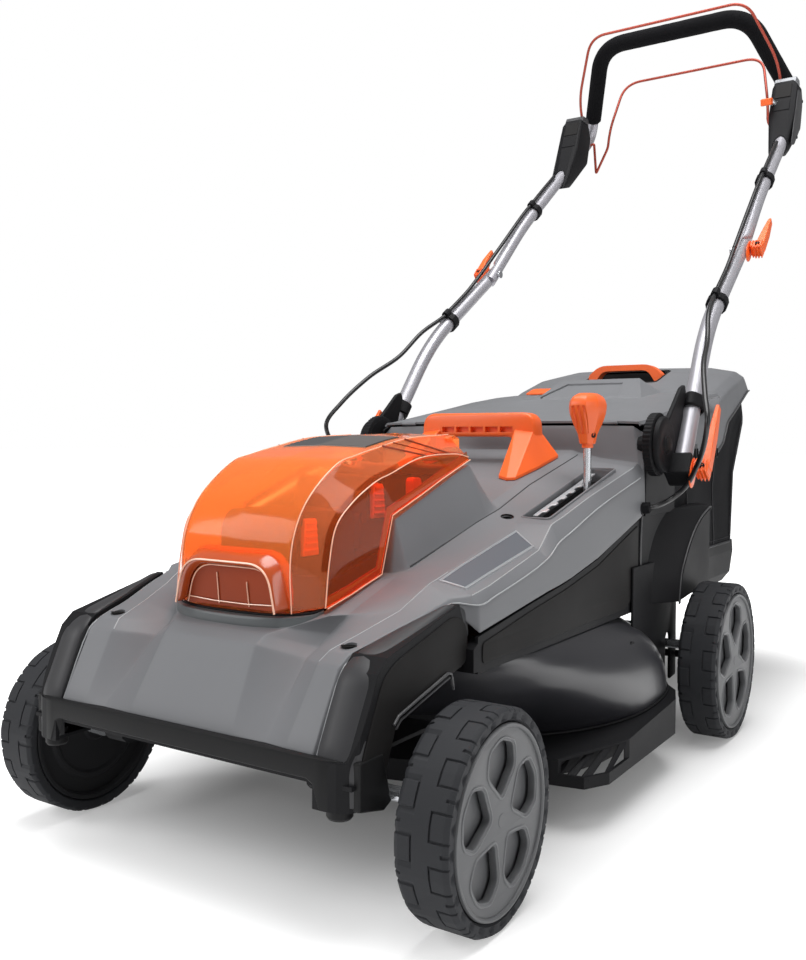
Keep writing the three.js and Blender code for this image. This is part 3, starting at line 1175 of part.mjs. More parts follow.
// From the gland in the flank the cable swings out round the bracket and its cam lever.
const lowerCable = swept(smoothPath([
  [GLAND.x, GLAND.y, GLAND.z], [GLAND.x + 8, GLAND.y + 2, GLAND.z + 1], [224, 236, 319],
  [240, 236, 334], [256, 224, 358], [272, 198, 384], [278, 190, 412], [268, 214, 444],
  [252, 262, 484], [238, 326, 520], [226, 372, 560],
  beside(lowerLeg, CLIPS.lower - 4), beside(lowerLeg, CLIPS.lower + 18), beside(lowerLeg, 150),
  beside(lowerLeg, 205, RISE - FOLD_RISE),
], 28), CABLE_R, 6);
const upperCable = swept(smoothPath([
  beside(lowerLeg, 206.5, RISE - FOLD_RISE), beside([JOINT_POINT, UPPER.bend], 60, RISE - FOLD_RISE),
  beside(upperLeg, 20), beside(upperLeg, CLIPS.upper), beside(upperLeg, CLIPS.upper + 14),
  beside(upperLeg, 120), beside(upperLeg, 181, RISE + 1),
], 14), CABLE_R, 6);
for (const [stage, body] of [['lower', lowerCable], ['upper', upperCable]]) {
  add(`cable_${stage}_left`, body, CABLE);
  add(`cable_${stage}_right`, mirrored(body), CABLE);
}

export default mower;
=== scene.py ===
import json
import math

import bmesh
import bpy
import numpy as np
from mathutils import Matrix, Vector, noise

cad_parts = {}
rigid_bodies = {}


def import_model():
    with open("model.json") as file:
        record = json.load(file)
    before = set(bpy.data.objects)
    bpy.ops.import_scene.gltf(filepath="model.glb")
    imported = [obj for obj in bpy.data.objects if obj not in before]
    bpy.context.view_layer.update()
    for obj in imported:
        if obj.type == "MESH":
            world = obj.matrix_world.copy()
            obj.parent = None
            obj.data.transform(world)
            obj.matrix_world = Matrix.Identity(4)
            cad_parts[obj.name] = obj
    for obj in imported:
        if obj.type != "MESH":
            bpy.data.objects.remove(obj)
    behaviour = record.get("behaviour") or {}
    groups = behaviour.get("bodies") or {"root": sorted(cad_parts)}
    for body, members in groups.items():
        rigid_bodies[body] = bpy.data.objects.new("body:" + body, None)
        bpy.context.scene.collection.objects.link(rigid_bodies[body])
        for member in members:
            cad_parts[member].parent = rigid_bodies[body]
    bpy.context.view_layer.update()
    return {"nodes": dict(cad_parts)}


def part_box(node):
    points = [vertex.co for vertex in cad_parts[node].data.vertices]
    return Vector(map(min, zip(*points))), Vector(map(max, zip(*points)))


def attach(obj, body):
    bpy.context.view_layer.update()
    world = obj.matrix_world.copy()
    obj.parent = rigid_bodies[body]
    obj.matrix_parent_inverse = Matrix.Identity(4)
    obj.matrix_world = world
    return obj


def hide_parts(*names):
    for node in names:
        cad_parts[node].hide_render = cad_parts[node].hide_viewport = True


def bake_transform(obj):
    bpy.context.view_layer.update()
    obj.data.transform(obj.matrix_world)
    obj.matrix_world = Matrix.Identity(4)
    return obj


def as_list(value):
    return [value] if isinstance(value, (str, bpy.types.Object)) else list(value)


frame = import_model()


# ------------------------------------------------------------------ places
# Lengths in the calls below are millimetres from the deck datum of the CAD source, whose y = 0
# lies DATUM_Y in front of the frame's origin. mm() turns them into the frame's metres.
DATUM_Y = 318.1
SIDES = ((1, "left"), (-1, "right"))  # sign of x and name of each side of the mower


def mm(x, y, z):
    return Vector((x / 1000, (y - DATUM_Y) / 1000, z / 1000))


# ------------------------------------------------------------------ camera
CAMERA_AT = (610.8, -990.5, 388.3)
CAMERA_TURN, CAMERA_DIP, CAMERA_ROLL = 33.81, 1.72, 0.27  # degrees


def make_camera():
    """The viewing angle of the photograph: from the front left of the mower, a little above it."""
    data = bpy.data.cameras.new("camera")
    data.sensor_fit = "AUTO"
    data.sensor_width = 36
    data.lens = 37.425
    data.shift_x, data.shift_y = 0.0226042, -0.00989583
    camera = bpy.data.objects.new("camera", data)
    bpy.context.scene.collection.objects.link(camera)
    turn, dip, roll = (math.radians(angle) for angle in (CAMERA_TURN, CAMERA_DIP, CAMERA_ROLL))
    forward = Vector((-math.sin(turn) * math.cos(dip), math.cos(turn) * math.cos(dip), -math.sin(dip)))
    right = Vector((math.cos(turn), math.sin(turn), 0))
    up = right.cross(forward)
    x = right * math.cos(roll) + up * math.sin(roll)
    y = up * math.cos(roll) - right * math.sin(roll)
    camera.matrix_world = Matrix((x, y, -forward)).transposed().to_4x4()
    camera.location = mm(*CAMERA_AT)
    data.clip_start, data.clip_end = 0.05, 60
    bpy.context.scene.camera = camera


make_camera()


# ------------------------------------------------------------------ materials
def srgb(r, g, b):
    """A colour given in the usual 0-255 values, as Blender's linear one."""
    def linear(c):
        c /= 255
        return c / 12.92 if c <= 0.04045 else ((c + 0.055) / 1.055) ** 2.4

    return (linear(r), linear(g), linear(b), 1.0)


def node(tree, kind, **settings):
    """A node whose inputs and properties are set by name; a socket as a value is linked."""
    made = tree.nodes.new(kind)
    for key, value in settings.items():
        if hasattr(made, key):
            setattr(made, key, value)
            continue
        socket = made.inputs[key.replace("_", " ")] if not key[-1].isdigit() else made.inputs[int(key[1:])]
        if isinstance(value, bpy.types.NodeSocket):
            tree.links.new(value, socket)
        else:
            socket.default_value = value
    return made


def scaled(colour, factor):
    return tuple(min(c * factor, 1.0) for c in colour[:3]) + (1.0,)


EDGE_REACH = 0.0009  # metres from an edge that wear, painted highlight and softening reach


def surface(name, rgb, rough=0.45, metal=0.0, grain=1100, bump=0.06, drift=0.12, wear_and_highlight=0.25, coat=0.0,
            level=0.5):
    """Moulded or painted surface: slow colour drift, a fine grain, softened edges, and pale edges that are
    part wear and part painted highlight.
    """
    colour = srgb(*rgb)
    material = bpy.data.materials.new(name)
    material.use_nodes = True
    tree = material.node_tree
    shader = tree.nodes["Principled BSDF"]
    where = node(tree, "ShaderNodeTexCoord").outputs["Object"]
    slow = node(tree, "ShaderNodeTexNoise", Vector=where, Scale=9.0, Detail=4.0)
    fine = node(tree, "ShaderNodeTexNoise", Vector=where, Scale=float(grain), Detail=2.0)
    tone = node(tree, "ShaderNodeMix", data_type="RGBA", i0=slow.outputs["Fac"],
                i6=scaled(colour, 1 - drift), i7=scaled(colour, 1 + drift))
    lump = node(tree, "ShaderNodeBump", Strength=bump, Distance=0.001, Height=fine.outputs["Fac"])
    # Edges are lightened: partly wear, partly a painted highlight for the light that their rounding catches.
    if wear_and_highlight:
        soft = node(tree, "ShaderNodeBevel", Radius=EDGE_REACH, samples=4)
        flat = node(tree, "ShaderNodeNewGeometry")
        same = node(tree, "ShaderNodeVectorMath", operation="DOT_PRODUCT",
                    i0=soft.outputs["Normal"], i1=flat.outputs["Normal"])
        worn_and_lit = node(tree, "ShaderNodeMapRange", i0=same.outputs["Value"], i1=0.99, i2=0.8, i3=0.0, i4=wear_and_highlight)
        tone = node(tree, "ShaderNodeMix", data_type="RGBA", i0=worn_and_lit.outputs["Result"],
                    i6=tone.outputs[2], i7=scaled(colour, 2.2))
        tree.links.new(soft.outputs["Normal"], lump.inputs["Normal"])
    tree.links.new(tone.outputs[2], shader.inputs["Base Color"])
    patch = node(tree, "ShaderNodeMapRange", i0=slow.outputs["Fac"], i1=0.3, i2=0.7,
                 i3=rough - 0.05, i4=rough + 0.06)
    tree.links.new(patch.outputs["Result"], shader.inputs["Roughness"])
    if bump:
        tree.links.new(lump.outputs["Normal"], shader.inputs["Normal"])
    shader.inputs["Metallic"].default_value = metal
    shader.inputs["Specular IOR Level"].default_value = level
    shader.inputs["Coat Weight"].default_value = coat
    shader.inputs["Coat Roughness"].default_value = 0.15
    return material


def clear_amber(name, rgb, rough, milky):
    """Tinted clear plastic that lets the lamps through; milky is its share of opaque colour."""
    colour = srgb(*rgb)
    material = bpy.data.materials.new(name)
    material.use_nodes = True
    tree = material.node_tree
    shader = tree.nodes["Principled BSDF"]
    shader.inputs["Base Color"].default_value = colour
    shader.inputs["Transmission Weight"].default_value = 1.0 - milky
    shader.inputs["IOR"].default_value = 1.25
    shader.inputs["Specular IOR Level"].default_value = 0.35
    where = node(tree, "ShaderNodeTexCoord").outputs["Object"]
    haze = node(tree, "ShaderNodeTexNoise", Vector=where, Scale=14.0, Detail=3.0)
    patch = node(tree, "ShaderNodeMapRange", i0=haze.outputs["Fac"], i1=0.3, i2=0.7, i3=rough,
                 i4=rough + 0.05)
    tree.links.new(patch.outputs["Result"], shader.inputs["Roughness"])
    ray = node(tree, "ShaderNodeLightPath").outputs["Is Shadow Ray"]
    through = node(tree, "ShaderNodeBsdfTransparent", Color=scaled(colour, 1.0))
    both = node(tree, "ShaderNodeMixShader", i0=ray, i1=shader.outputs[0], i2=through.outputs[0])
    tree.links.new(both.outputs[0], tree.nodes["Material Output"].inputs["Surface"])
    return material


GREY = surface("moulded_grey", (114, 115, 118), rough=0.48, wear_and_highlight=0.3, level=0.3)
BLACK = surface("moulded_black", (24, 24, 26), rough=0.55, wear_and_highlight=0.2, drift=0.15, level=0.12)
ORANGE = surface("moulded_orange", (250, 104, 38), rough=0.36, wear_and_highlight=0.12, drift=0.05)
RUBBER = surface("tyre_rubber", (44, 45, 48), rough=0.68, bump=0.12, grain=700, wear_and_highlight=0.3, level=0.25)
# Lighter copy of the hub grey for the raised window borders: a painted highlight.
HUB_PAINTED_HIGHLIGHT = surface("hub_painted_highlight", (98, 99, 101), rough=0.42, wear_and_highlight=0.45)
HUB = surface("hub_grey", (88, 89, 91), rough=0.5, wear_and_highlight=0.3)
# Near-black copy of the hub grey for the faces turned towards the mower: painted shade.
HUB_PAINTED_SHADE = surface("hub_inside_painted_shade", (34, 34, 36), rough=0.6, wear_and_highlight=0.3, level=0.15)
STEEL = surface("zinc_steel", (190, 192, 196), rough=0.22, metal=0.85, bump=0.0, wear_and_highlight=0.0, drift=0.06)
TUBE = surface("silver_paint", (172, 171, 177), rough=0.36, metal=0.4, bump=0.0, wear_and_highlight=0.0, drift=0.04)
COPPER = surface("copper_paint", (160, 62, 44), rough=0.32, metal=0.35, bump=0.0, wear_and_highlight=0.0)
FABRIC = surface("catcher_fabric", (28, 28, 30), rough=0.9, bump=0.35, grain=900, wear_and_highlight=0.0, level=0.12)
FOAM = surface("foam_grip", (20, 20, 22), rough=0.95, bump=0.5, grain=520, wear_and_highlight=0.0, level=0.12)
CABLE = surface("cable_black", (24, 24, 26), rough=0.3, bump=0.02, wear_and_highlight=0.0)
DARK = surface("dark_metal", (46, 47, 50), rough=0.4, metal=0.7)
AMBER_SIDE = clear_amber("amber_clear", (248, 134, 62), 0.0, 0.1)
# Lighter, milkier copies of the clear amber for the top and the bevel strip: a painted reflection of the
# white surroundings.
AMBER_TOP_PAINTED_REFLECTION = clear_amber("amber_painted_reflection", (255, 160, 84), 0.08, 0.3)
AMBER_STRIP_PAINTED_REFLECTION = clear_amber("amber_soft_painted_reflection", (252, 160, 104), 0.02, 0.2)
AMBER_HOOD = surface("amber_hood", (186, 78, 30), rough=0.16, wear_and_highlight=0.0, drift=0.3, coat=0.5)
BOX_GREY = surface("housing_grey", (62, 62, 64), rough=0.45, wear_and_highlight=0.3, bump=0.2, grain=900, level=0.3)
ZINC = surface("bracket_zinc", (132, 134, 138), rough=0.34, metal=0.3, bump=0.0, wear_and_highlight=0.0)
LATCH = surface("latch_orange", (236, 160, 104), rough=0.4, wear_and_highlight=0.0, drift=0.1)
GATE = surface("gate_zinc", (205, 207, 210), rough=0.3, metal=0.4, bump=0.0, wear_and_highlight=0.0)
# Dark amber for the hollow under the pull's hood: painted shade.
AMBER_PAINTED_SHADE = surface("amber_painted_shade", (150, 58, 20), rough=0.35, wear_and_highlight=0.0, drift=0.25, level=0.2)
AMBER_LINE = surface("amber_line", (140, 52, 22), rough=0.25, wear_and_highlight=0.0)
BADGE = surface("badge_grey", (58, 58, 60), rough=0.35, wear_and_highlight=0.0, drift=0.06)
BADGE_EDGE = surface("badge_border", (84, 78, 76), rough=0.35, wear_and_highlight=0.0)
# Light grey for lines along the cover's edges: painted highlights.
GREY_PAINTED_HIGHLIGHT = surface("grey_highlight", (158, 160, 162), rough=0.4, wear_and_highlight=0.0, drift=0.1)
# Dark grey for the line along the cover's valley: painted shade.
VALLEY_PAINTED_SHADE = surface("valley_painted_shade", (52, 53, 55), rough=0.6, wear_and_highlight=0.0)
AMBER_DEEP = surface("amber_deep", (146, 94, 62), rough=0.2, wear_and_highlight=0.1, drift=0.05, coat=0.5)
# Pale peach for lines on the amber cover's ribs and edges: painted highlights.
AMBER_PAINTED_HIGHLIGHT = surface("amber_painted_highlight", (255, 196, 165), rough=0.2, wear_and_highlight=0.0, drift=0.04, coat=0.6)
PLATE = surface("bare_plate", (92, 96, 102), rough=0.6, wear_and_highlight=0.0, drift=0.05, bump=0.0, level=0.2)
PLATE_EDGE = surface("plate_border", (150, 153, 156), rough=0.35, wear_and_highlight=0.0)
FABRIC_EDGE = surface("fabric_binding", (46, 46, 49), rough=0.75, bump=0.4, grain=1400, wear_and_highlight=0.0)
FENDER = surface("fender_grey", (54, 54, 56), rough=0.45, wear_and_highlight=0.35, level=0.3)
BLACK_SOFT = surface("panel_black", (30, 29, 29), rough=0.58, wear_and_highlight=0.3, level=0.12)
# Lighter black for thin lines along the edges of black parts: painted highlights.
BLACK_PAINTED_HIGHLIGHT = surface("black_painted_highlight", (70, 70, 72), rough=0.35, wear_and_highlight=0.4)
BUMPER = surface("bumper_black", (24, 24, 25), rough=0.52, wear_and_highlight=0.3, level=0.16)
DOME_BLACK = surface("deck_paint", (40, 40, 44), rough=0.34, wear_and_highlight=0.1, coat=0.15)
PLINTH = surface("plinth_grey", (84, 88, 90), rough=0.42, wear_and_highlight=0.35)

# The longest of these that starts a CAD node's name gives its look; the rest are black.
LOOK = {
    "tyre_": RUBBER, "hub_": HUB, "front_axle": STEEL, "rear_axle": STEEL, "height_link": STEEL,
    "top_cover": GREY, "catcher_lid": GREY, "battery_cover": AMBER_SIDE, "battery_latch": LATCH,
    "safety_key": ORANGE, "motor_": DARK, "blade": DARK, "blade_bolt": STEEL, "carry_handle": ORANGE,
    "height_gate": STEEL, "height_lever_rod": STEEL, "height_lever_knob": ORANGE, "rear_flap": GREY,
    "catcher_handle": ORANGE, "fill_indicator": ORANGE, "catcher_bag": FABRIC, "lower_tube": TUBE,
    "upper_handle": TUBE, "base_cam": ORANGE, "joint_cam": ORANGE, "foam_grip": FOAM,
    "start_button": ORANGE, "blade_bail": COPPER, "drive_bail": COPPER, "cable_lower": CABLE,
    "cable_upper": CABLE,
}


def dress_cad_nodes():
    """Every carried-over CAD node: its finish, and smooth shading below the crease angle."""
    for name, piece in frame["nodes"].items():
        starts = [key for key in LOOK if name.startswith(key)]
        look = LOOK[max(starts, key=len)] if starts else BLACK
        piece.data.materials.clear()
        piece.data.materials.append(look)
        if "custom_normal" in piece.data.attributes:
            piece.data.attributes.remove(piece.data.attributes["custom_normal"])
        piece.data.shade_smooth()
        piece.data.set_sharp_from_angle(angle=math.radians(28))


dress_cad_nodes()


# ------------------------------------------------------------------ mesh tools
WELD = 2e-6  # metres below which two points are one


def build(name, points, faces, look, body, nodes=(), sharp=32, mirror=False):
    """A piece from points in deck millimetres. With mirror it is flipped to the other side."""
    flip = -1 if mirror else 1
    mesh = bpy.data.meshes.new(name)
    mesh.from_pydata([mm(flip * p[0], p[1], p[2]) for p in points], [], faces)
    shaped = bmesh.new()
    shaped.from_mesh(mesh)
    bmesh.ops.remove_doubles(shaped, verts=shaped.verts, dist=WELD)
    bmesh.ops.recalc_face_normals(shaped, faces=shaped.faces)
    shaped.to_mesh(mesh)
    shaped.free()
    return finish_piece(name, mesh, look, body, nodes, sharp)


def finish_piece(name, mesh, look, body, nodes=(), sharp=32):
    """An object on a mesh: one look or several, its body, and the CAD nodes that it stands for."""
    for one in look if isinstance(look, (list, tuple)) else [look]:
        mesh.materials.append(one)
    mesh.shade_smooth()
    if sharp < 180:
        mesh.set_sharp_from_angle(angle=math.radians(sharp))
    made = bpy.data.objects.new(name, mesh)
    bpy.context.scene.collection.objects.link(made)
    if body:
        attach(made, body)
    if nodes:
        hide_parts(*nodes)
    return made


def smooth_sheet(piece, thick=0.0, levels=2, offset=-1.0):
    """Thickness and subdivision as modifiers."""
    if thick:
        wall = piece.modifiers.new("wall", "SOLIDIFY")
        wall.thickness, wall.offset = thick / 1000, offset
    if levels:
        fine = piece.modifiers.new("fine", "SUBSURF")
        fine.levels = fine.render_levels = levels
    return piece


def baked(piece):
    """Applies the modifiers that the piece has."""
    done = bpy.data.meshes.new_from_object(piece.evaluated_get(bpy.context.evaluated_depsgraph_get()))
    piece.modifiers.clear()
    piece.data = done
    return piece


def grid_faces(rows, columns, wrap=False, start=0, closed=False):
    """Quads between rows of points in one list; wrap joins a row's ends, closed the first and last rows."""
    around = columns if wrap else columns - 1
    faces = []
    for r in range(rows if closed else rows - 1):
        near, far = start + r * columns, start + (r + 1) % rows * columns
        faces += [[near + c, near + (c + 1) % columns, far + (c + 1) % columns, far + c]
                  for c in range(around)]
    return faces


def end_caps(rows, columns):
    """The two faces that close a tube of rows of points."""
    return [list(range(columns)), [(rows - 1) * columns + k for k in range(columns)]]


def supported(grid, soft):
    """Adds rows `soft` mm beside each row, so that subdivision keeps narrow rounded creases."""
    out = [grid[0]]
    for a, b in zip(grid[:-1], grid[1:]):
        gap = np.linalg.norm(b - a, axis=1, keepdims=True)
        part = np.minimum(soft / np.maximum(gap, 1e-6), 0.34)
        out += [a + (b - a) * part, b - (b - a) * part, b]
    return np.array(out)


def curved(grid, steps):
    """Smooth rows through the given rows, with `steps` rows for each one."""
    count = len(grid)
    out = []
    for i in range(count - 1):
        a, b = grid[i], grid[i + 1]
        before = grid[i - 1] if i else 2 * a - b
        after = grid[i + 2] if i + 2 < count else 2 * b - a
        for k in range(steps):
            t = k / steps
            out.append(0.5 * (2 * a + (b - before) * t + (2 * before - 5 * a + 4 * b - after) * t * t
                              + (3 * a - before - 3 * b + after) * t ** 3))
    out.append(grid[-1])
    return np.array(out)


def mirrored_rows(rows):
    """Half rows from the middle outwards, made whole."""
    return np.array([[(-x, y, z) for x, y, z in row[:0:-1]] + [tuple(p) for p in row] for row in rows],
                    dtype=float)


def grid_piece(name, grid, look, body, nodes=(), sharp=32, mirror=False):
    """An open sheet on rows of points."""
    grid = np.array(grid, dtype=float)
    rows, columns = grid.shape[:2]
    return build(name, grid.reshape(-1, 3), grid_faces(rows, columns), look, body, nodes, sharp, mirror)


def rounded_box(name, corners, look, body, nodes=(), bevel=1.5, mirror=False, segments=3):
    """A convex body round the corner points with bevelled edges."""
    flip = -1 if mirror else 1
    shaped = bmesh.new()
    for x, y, z in corners:
        shaped.verts.new(mm(flip * x, y, z))
    bmesh.ops.convex_hull(shaped, input=shaped.verts)
    bmesh.ops.dissolve_limit(shaped, angle_limit=math.radians(1.5), verts=shaped.verts, edges=shaped.edges)
    loose = [v for v in shaped.verts if not v.link_faces]
    bmesh.ops.delete(shaped, geom=loose, context="VERTS")
    bmesh.ops.recalc_face_normals(shaped, faces=shaped.faces)
    mesh = bpy.data.meshes.new(name)
    shaped.to_mesh(mesh)
    shaped.free()
    made = bevelled(finish_piece(name, mesh, look, body, nodes, 180), bevel, segments, 12)
    made.modifiers["bevel"].harden_normals = True
    return made


def bevelled(piece, width, segments=2, angle=30):
    """Rounds the edges that turn by more than `angle` degrees, as a modifier."""
    edge = piece.modifiers.new("bevel", "BEVEL")
    edge.width, edge.segments, edge.limit_method = width / 1000, segments, "ANGLE"
    edge.angle_limit = math.radians(angle)
    return piece


def box8(x0, x1, y0, y1, z0, z1):
    """Corners of an upright block."""
    return [(x, y, z) for x in (x0, x1) for y in (y0, y1) for z in (z0, z1)]


BOX_FACES = [[0, 1, 3, 2], [4, 5, 7, 6], [0, 1, 5, 4], [2, 3, 7, 6], [0, 2, 6, 4], [1, 3, 7, 5]]


def slab(x0, x1, outline):
    """Corners of a body that has the same (y, z) outline at two places across the mower."""
    return [(x, y, z) for x in (x0, x1) for y, z in outline]


def round_steps(steps):
    """Cosine and sine at equal steps round a circle."""
    return [(math.cos(2 * math.pi * k / steps), math.sin(2 * math.pi * k / steps)) for k in range(steps)]


def spun(name, profile, centre, axis, look, body, nodes=(), steps=64, sharp=32, mirror=False):
    """A profile of (radius, along) points turned about an axis vector through the centre."""
    along = Vector(axis).normalized()
    side = along.orthogonal().normalized()
    other = along.cross(side)
    points = []
    for radius, reach in profile:
        for c, s in round_steps(steps):
            points.append(Vector(centre) + along * reach + (side * c + other * s) * max(radius, 0.001))
    faces = grid_faces(len(profile), steps, wrap=True)
    return build(name, points, faces, look, body, nodes, sharp, mirror)


def frames_along(path):
    """(point, side, up) at each point of a path, carried along without twist."""
    points = [Vector(p) for p in path]
    ways = []
    for i in range(len(points)):
        ways.append((points[min(i + 1, len(points) - 1)] - points[max(i - 1, 0)]).normalized())
    side = ways[0].cross(Vector((0, 0, 1)))
    side = (side if side.length > 0.1 else ways[0].cross(Vector((1, 0, 0)))).normalized()
    out = []
    for point, way in zip(points, ways):
        side = (side - way * side.dot(way)).normalized()
        out.append((point, side, way.cross(side)))
    return out


def tube(path, radius, sides=20, closed_ends=True):
    """Points and faces of a round tube; radius may be a function of the share of the way along."""
    frames = frames_along(path)
    radii = [radius(i / (len(frames) - 1)) if callable(radius) else radius for i in range(len(frames))]
    points = []
    for (point, side, up), r in zip(frames, radii):
        points += [point + side * (r * c) + up * (r * s) for c, s in round_steps(sides)]
    faces = grid_faces(len(frames), sides, wrap=True)
    return points, faces + (end_caps(len(frames), sides) if closed_ends else [])


def rod(name, path, radius, sides, look, body, nodes=(), mirror=False):
    """A round bar along a path."""
    points, faces = tube(path, radius, sides)
    return build(name, points, faces, look, body, nodes, mirror=mirror)


def corner_arc(start, corner, end, steps):
    """Points that round a corner off, from a point before it to one behind it."""
    shares = [k / steps for k in range(steps + 1)]
    return [start * (1 - t) ** 2 + corner * (2 * t * (1 - t)) + end * t * t for t in shares]


def bent(points, steps=8):
    """A path of straight runs; a fourth number is the reach of a rounded corner."""
    out = []
    for i, (x, y, z, *reach) in enumerate(points):
        here = Vector((x, y, z))
        if not reach:
            out.append(here)
            continue
        before = here + (Vector(points[i - 1][:3]) - here).normalized() * reach[0]
        after = here + (Vector(points[i + 1][:3]) - here).normalized() * reach[0]
        out += corner_arc(before, here, after, steps)
    return out


def smooth_path(points, count):
    """The centripetal Catmull-Rom curve through the points."""
    points = [Vector(p) for p in points]
    out = []
    for i in range(len(points) - 1):
        p1, p2 = points[i], points[i + 1]
        p0 = points[i - 1] if i else p1 * 2 - p2
        p3 = points[i + 2] if i + 2 < len(points) else p2 * 2 - p1
        d1, d2, d3 = (max((b - a).length ** 0.5, 1e-4) for a, b in ((p0, p1), (p1, p2), (p2, p3)))
        m1 = ((p1 - p0) / d1 - (p2 - p0) / (d1 + d2) + (p2 - p1) / d2) * d2
        m2 = ((p2 - p1) / d2 - (p3 - p1) / (d2 + d3) + (p3 - p2) / d3) * d2
        for k in range(count):
            t = k / count
            out.append(p1 * (2 * t ** 3 - 3 * t * t + 1) + m1 * (t ** 3 - 2 * t * t + t)
                       + p2 * (3 * t * t - 2 * t ** 3) + m2 * (t ** 3 - t * t))
    out.append(points[-1])
    return out


def flip(points):
    """The same points on the other side of the mower."""
    return [(-p[0], *p[1:]) for p in points]


def plate(name, outline, holes, depth, bevel, place, look, body, nodes=(), mirror=False, sharp=40):
    """A flat plate with holes and rounded rims, drawn in 2-D millimetres and moved by `place`."""
    curve = bpy.data.curves.new(name, "CURVE")
    curve.dimensions = "2D"
    curve.fill_mode = "BOTH"
    curve.extrude = depth / 2 - bevel
    curve.bevel_depth = bevel
    curve.bevel_resolution = 2
    for ring in [outline, *holes]:
        spline = curve.splines.new("POLY")
        spline.points.add(len(ring) - 1)
        for point, (u, v) in zip(spline.points, ring):
            point.co = (u, v, 0, 1)
        spline.use_cyclic_u = True
    holder = bpy.data.objects.new(name, curve)
    bpy.context.scene.collection.objects.link(holder)
    drawn = bpy.data.meshes.new_from_object(holder.evaluated_get(bpy.context.evaluated_depsgraph_get()))
    bpy.data.objects.remove(holder)
    bpy.data.curves.remove(curve)
    points = [place @ v.co for v in drawn.vertices]
    faces = [list(f.vertices) for f in drawn.polygons]
    bpy.data.meshes.remove(drawn)
    return build(name, points, faces, look, body, nodes, sharp, mirror)


def rounded_ring(corners, radius, steps=5):
    """A closed outline with each corner rounded off."""
    out = []
    for i, corner in enumerate(corners):
        here = Vector(corner)
        a, b = Vector(corners[i - 1]) - here, Vector(corners[(i + 1) % len(corners)]) - here
        reach = min(radius, a.length * 0.48, b.length * 0.48)
        arc = corner_arc(here + a.normalized() * reach, here, here + b.normalized() * reach, steps)
        out += [tuple(point) for point in arc]
    return out


def basis(origin, x, y, z):
    """The matrix that takes drawing axes to these directions at a point."""
    turn = Matrix((Vector(x), Vector(y), Vector(z))).transposed().to_4x4()
    return Matrix.Translation(Vector(origin)) @ turn


def read_off(points, place, key=0, value=1):
    """Coordinate `value` of a run of points, at the place where coordinate `key` is `place`."""
    return float(np.interp(place, [p[key] for p in points], [p[value] for p in points]))


def side_view(x, y=0, z=0, outwards=1):
    """Upright drawing plane at x whose u runs back and v up."""
    return basis((x, y, z), (0, 1, 0), (0, 0, 1), (outwards, 0, 0))


def circle(x, y, r, steps=32):
    return [(x + r * c, y + r * s) for c, s in round_steps(steps)]


# ------------------------------------------------------------------ wheels
LUGS = 14  # outlined squares in each row of the tread
TREAD_CUT = 1.5  # depth of the lines in the tread
TYRE_HALF = 23.5
RIM_SHARE = 0.865  # the rim's radius as a share of the wheel's
WINDOWS = 5
# place, x of the wheel's middle plane, y of its axle, radius, side, turn of its tread in pitches
WHEELS = (
    ("front_left", 235.5, -290, 89, 1, 0.0), ("front_right", 235.5, -290, 89, -1, 0.3),
    ("rear_left", 250.5, 352, 101.5, 1, 0.15), ("rear_right", 250.5, 352, 101.5, -1, 0.4),
)


def tread_depth(across, phase):
    """How deep the tread is cut at a place across the tyre and a share of one pitch."""
    for out, share in ((across, phase % 1.0), (-across, (phase + 0.5) % 1.0)):
        in_square = 7.0 <= out <= TYRE_HALF and 0.22 <= share <= 0.78
        on_outline = in_square and (out <= 8.6 or share <= 0.26 or share >= 0.74)
        on_shoulder_cut = out > 17.5 and (share <= 0.03 or share >= 0.97)
        if on_outline or on_shoulder_cut:
            return TREAD_CUT
    return 0.0


def tyre(place, x, y, r, side, phase):
    """Rubber with a nearly flat crown for each pair of squares and notched shoulders."""
    rim = RIM_SHARE * r
    half_marks = [3, 6.9, 7.1, 8.5, 8.7, 13.5, 17.4, 17.6, 19.4, 22.6, TYRE_HALF]
    across = [-a for a in reversed(half_marks)] + half_marks
    marks = [0.02, 0.04, 0.13, 0.21, 0.23, 0.25, 0.27, 0.36, 0.46, 0.48, 0.5, 0.52, 0.54, 0.64, 0.73, 0.75,
             0.77, 0.79, 0.88, 0.96, 0.98, 1.0]
    inner_wall = [(-21.0, rim + 0.2), (-22.6, rim + 1.6), (-23.3, rim + 4.0), (-TYRE_HALF, r - 5.0)]
    points = []
    for lug in range(LUGS):
        for mark in marks:
            angle = 2 * math.pi * (lug + mark + phase) / LUGS
            flat = math.cos(math.pi / LUGS) / math.cos(((mark + 0.5) % 1.0 - 0.5) * 2 * math.pi / LUGS)
            crown = 1 + (flat - 1) * 0.22
            row = list(inner_wall)
            for a in across:
                edge = max(0.0, abs(a) - 19.4) / 4.1
                row.append((a, (r - 2.6 * edge ** 2) * crown - tread_depth(a, mark)))
            notch = 1.6 if mark <= 0.04 or mark >= 0.96 or 0.46 <= mark <= 0.54 else 0.0
            row += [(TYRE_HALF - notch * 0.4, r - 5.0), (TYRE_HALF - notch, r - 6.0), (23.3 - notch, r - 9.0),
                    (23.3, r - 10.0), (22.6, rim + 1.6), (21.0, rim + 0.2)]
            points += [(side * (x + a), y + h * math.cos(angle), r + h * math.sin(angle)) for a, h in row]
    rings = LUGS * len(marks)
    faces = grid_faces(rings, len(points) // rings, closed=True)
    build(f"tread_{place}", points, faces, RUBBER, f"wheel_{place}", (f"tyre_{place}",), sharp=24)


def hub_window(r, index):
    """Outline of one window: a kite with its point towards the middle."""
    inner, outer = r * 0.2, r * RIM_SHARE - 11
    kite = [(inner, 0), (outer * 0.6, -outer * 0.35), (outer * 0.88, -outer * 0.31), (outer * 0.985, 0),
            (outer * 0.88, outer * 0.31), (outer * 0.6, outer * 0.35)]
    turn = 2 * math.pi * index / WINDOWS + math.pi / 2
    return [(u * math.cos(turn) - v * math.sin(turn), u * math.sin(turn) + v * math.cos(turn))
            for u, v in kite]


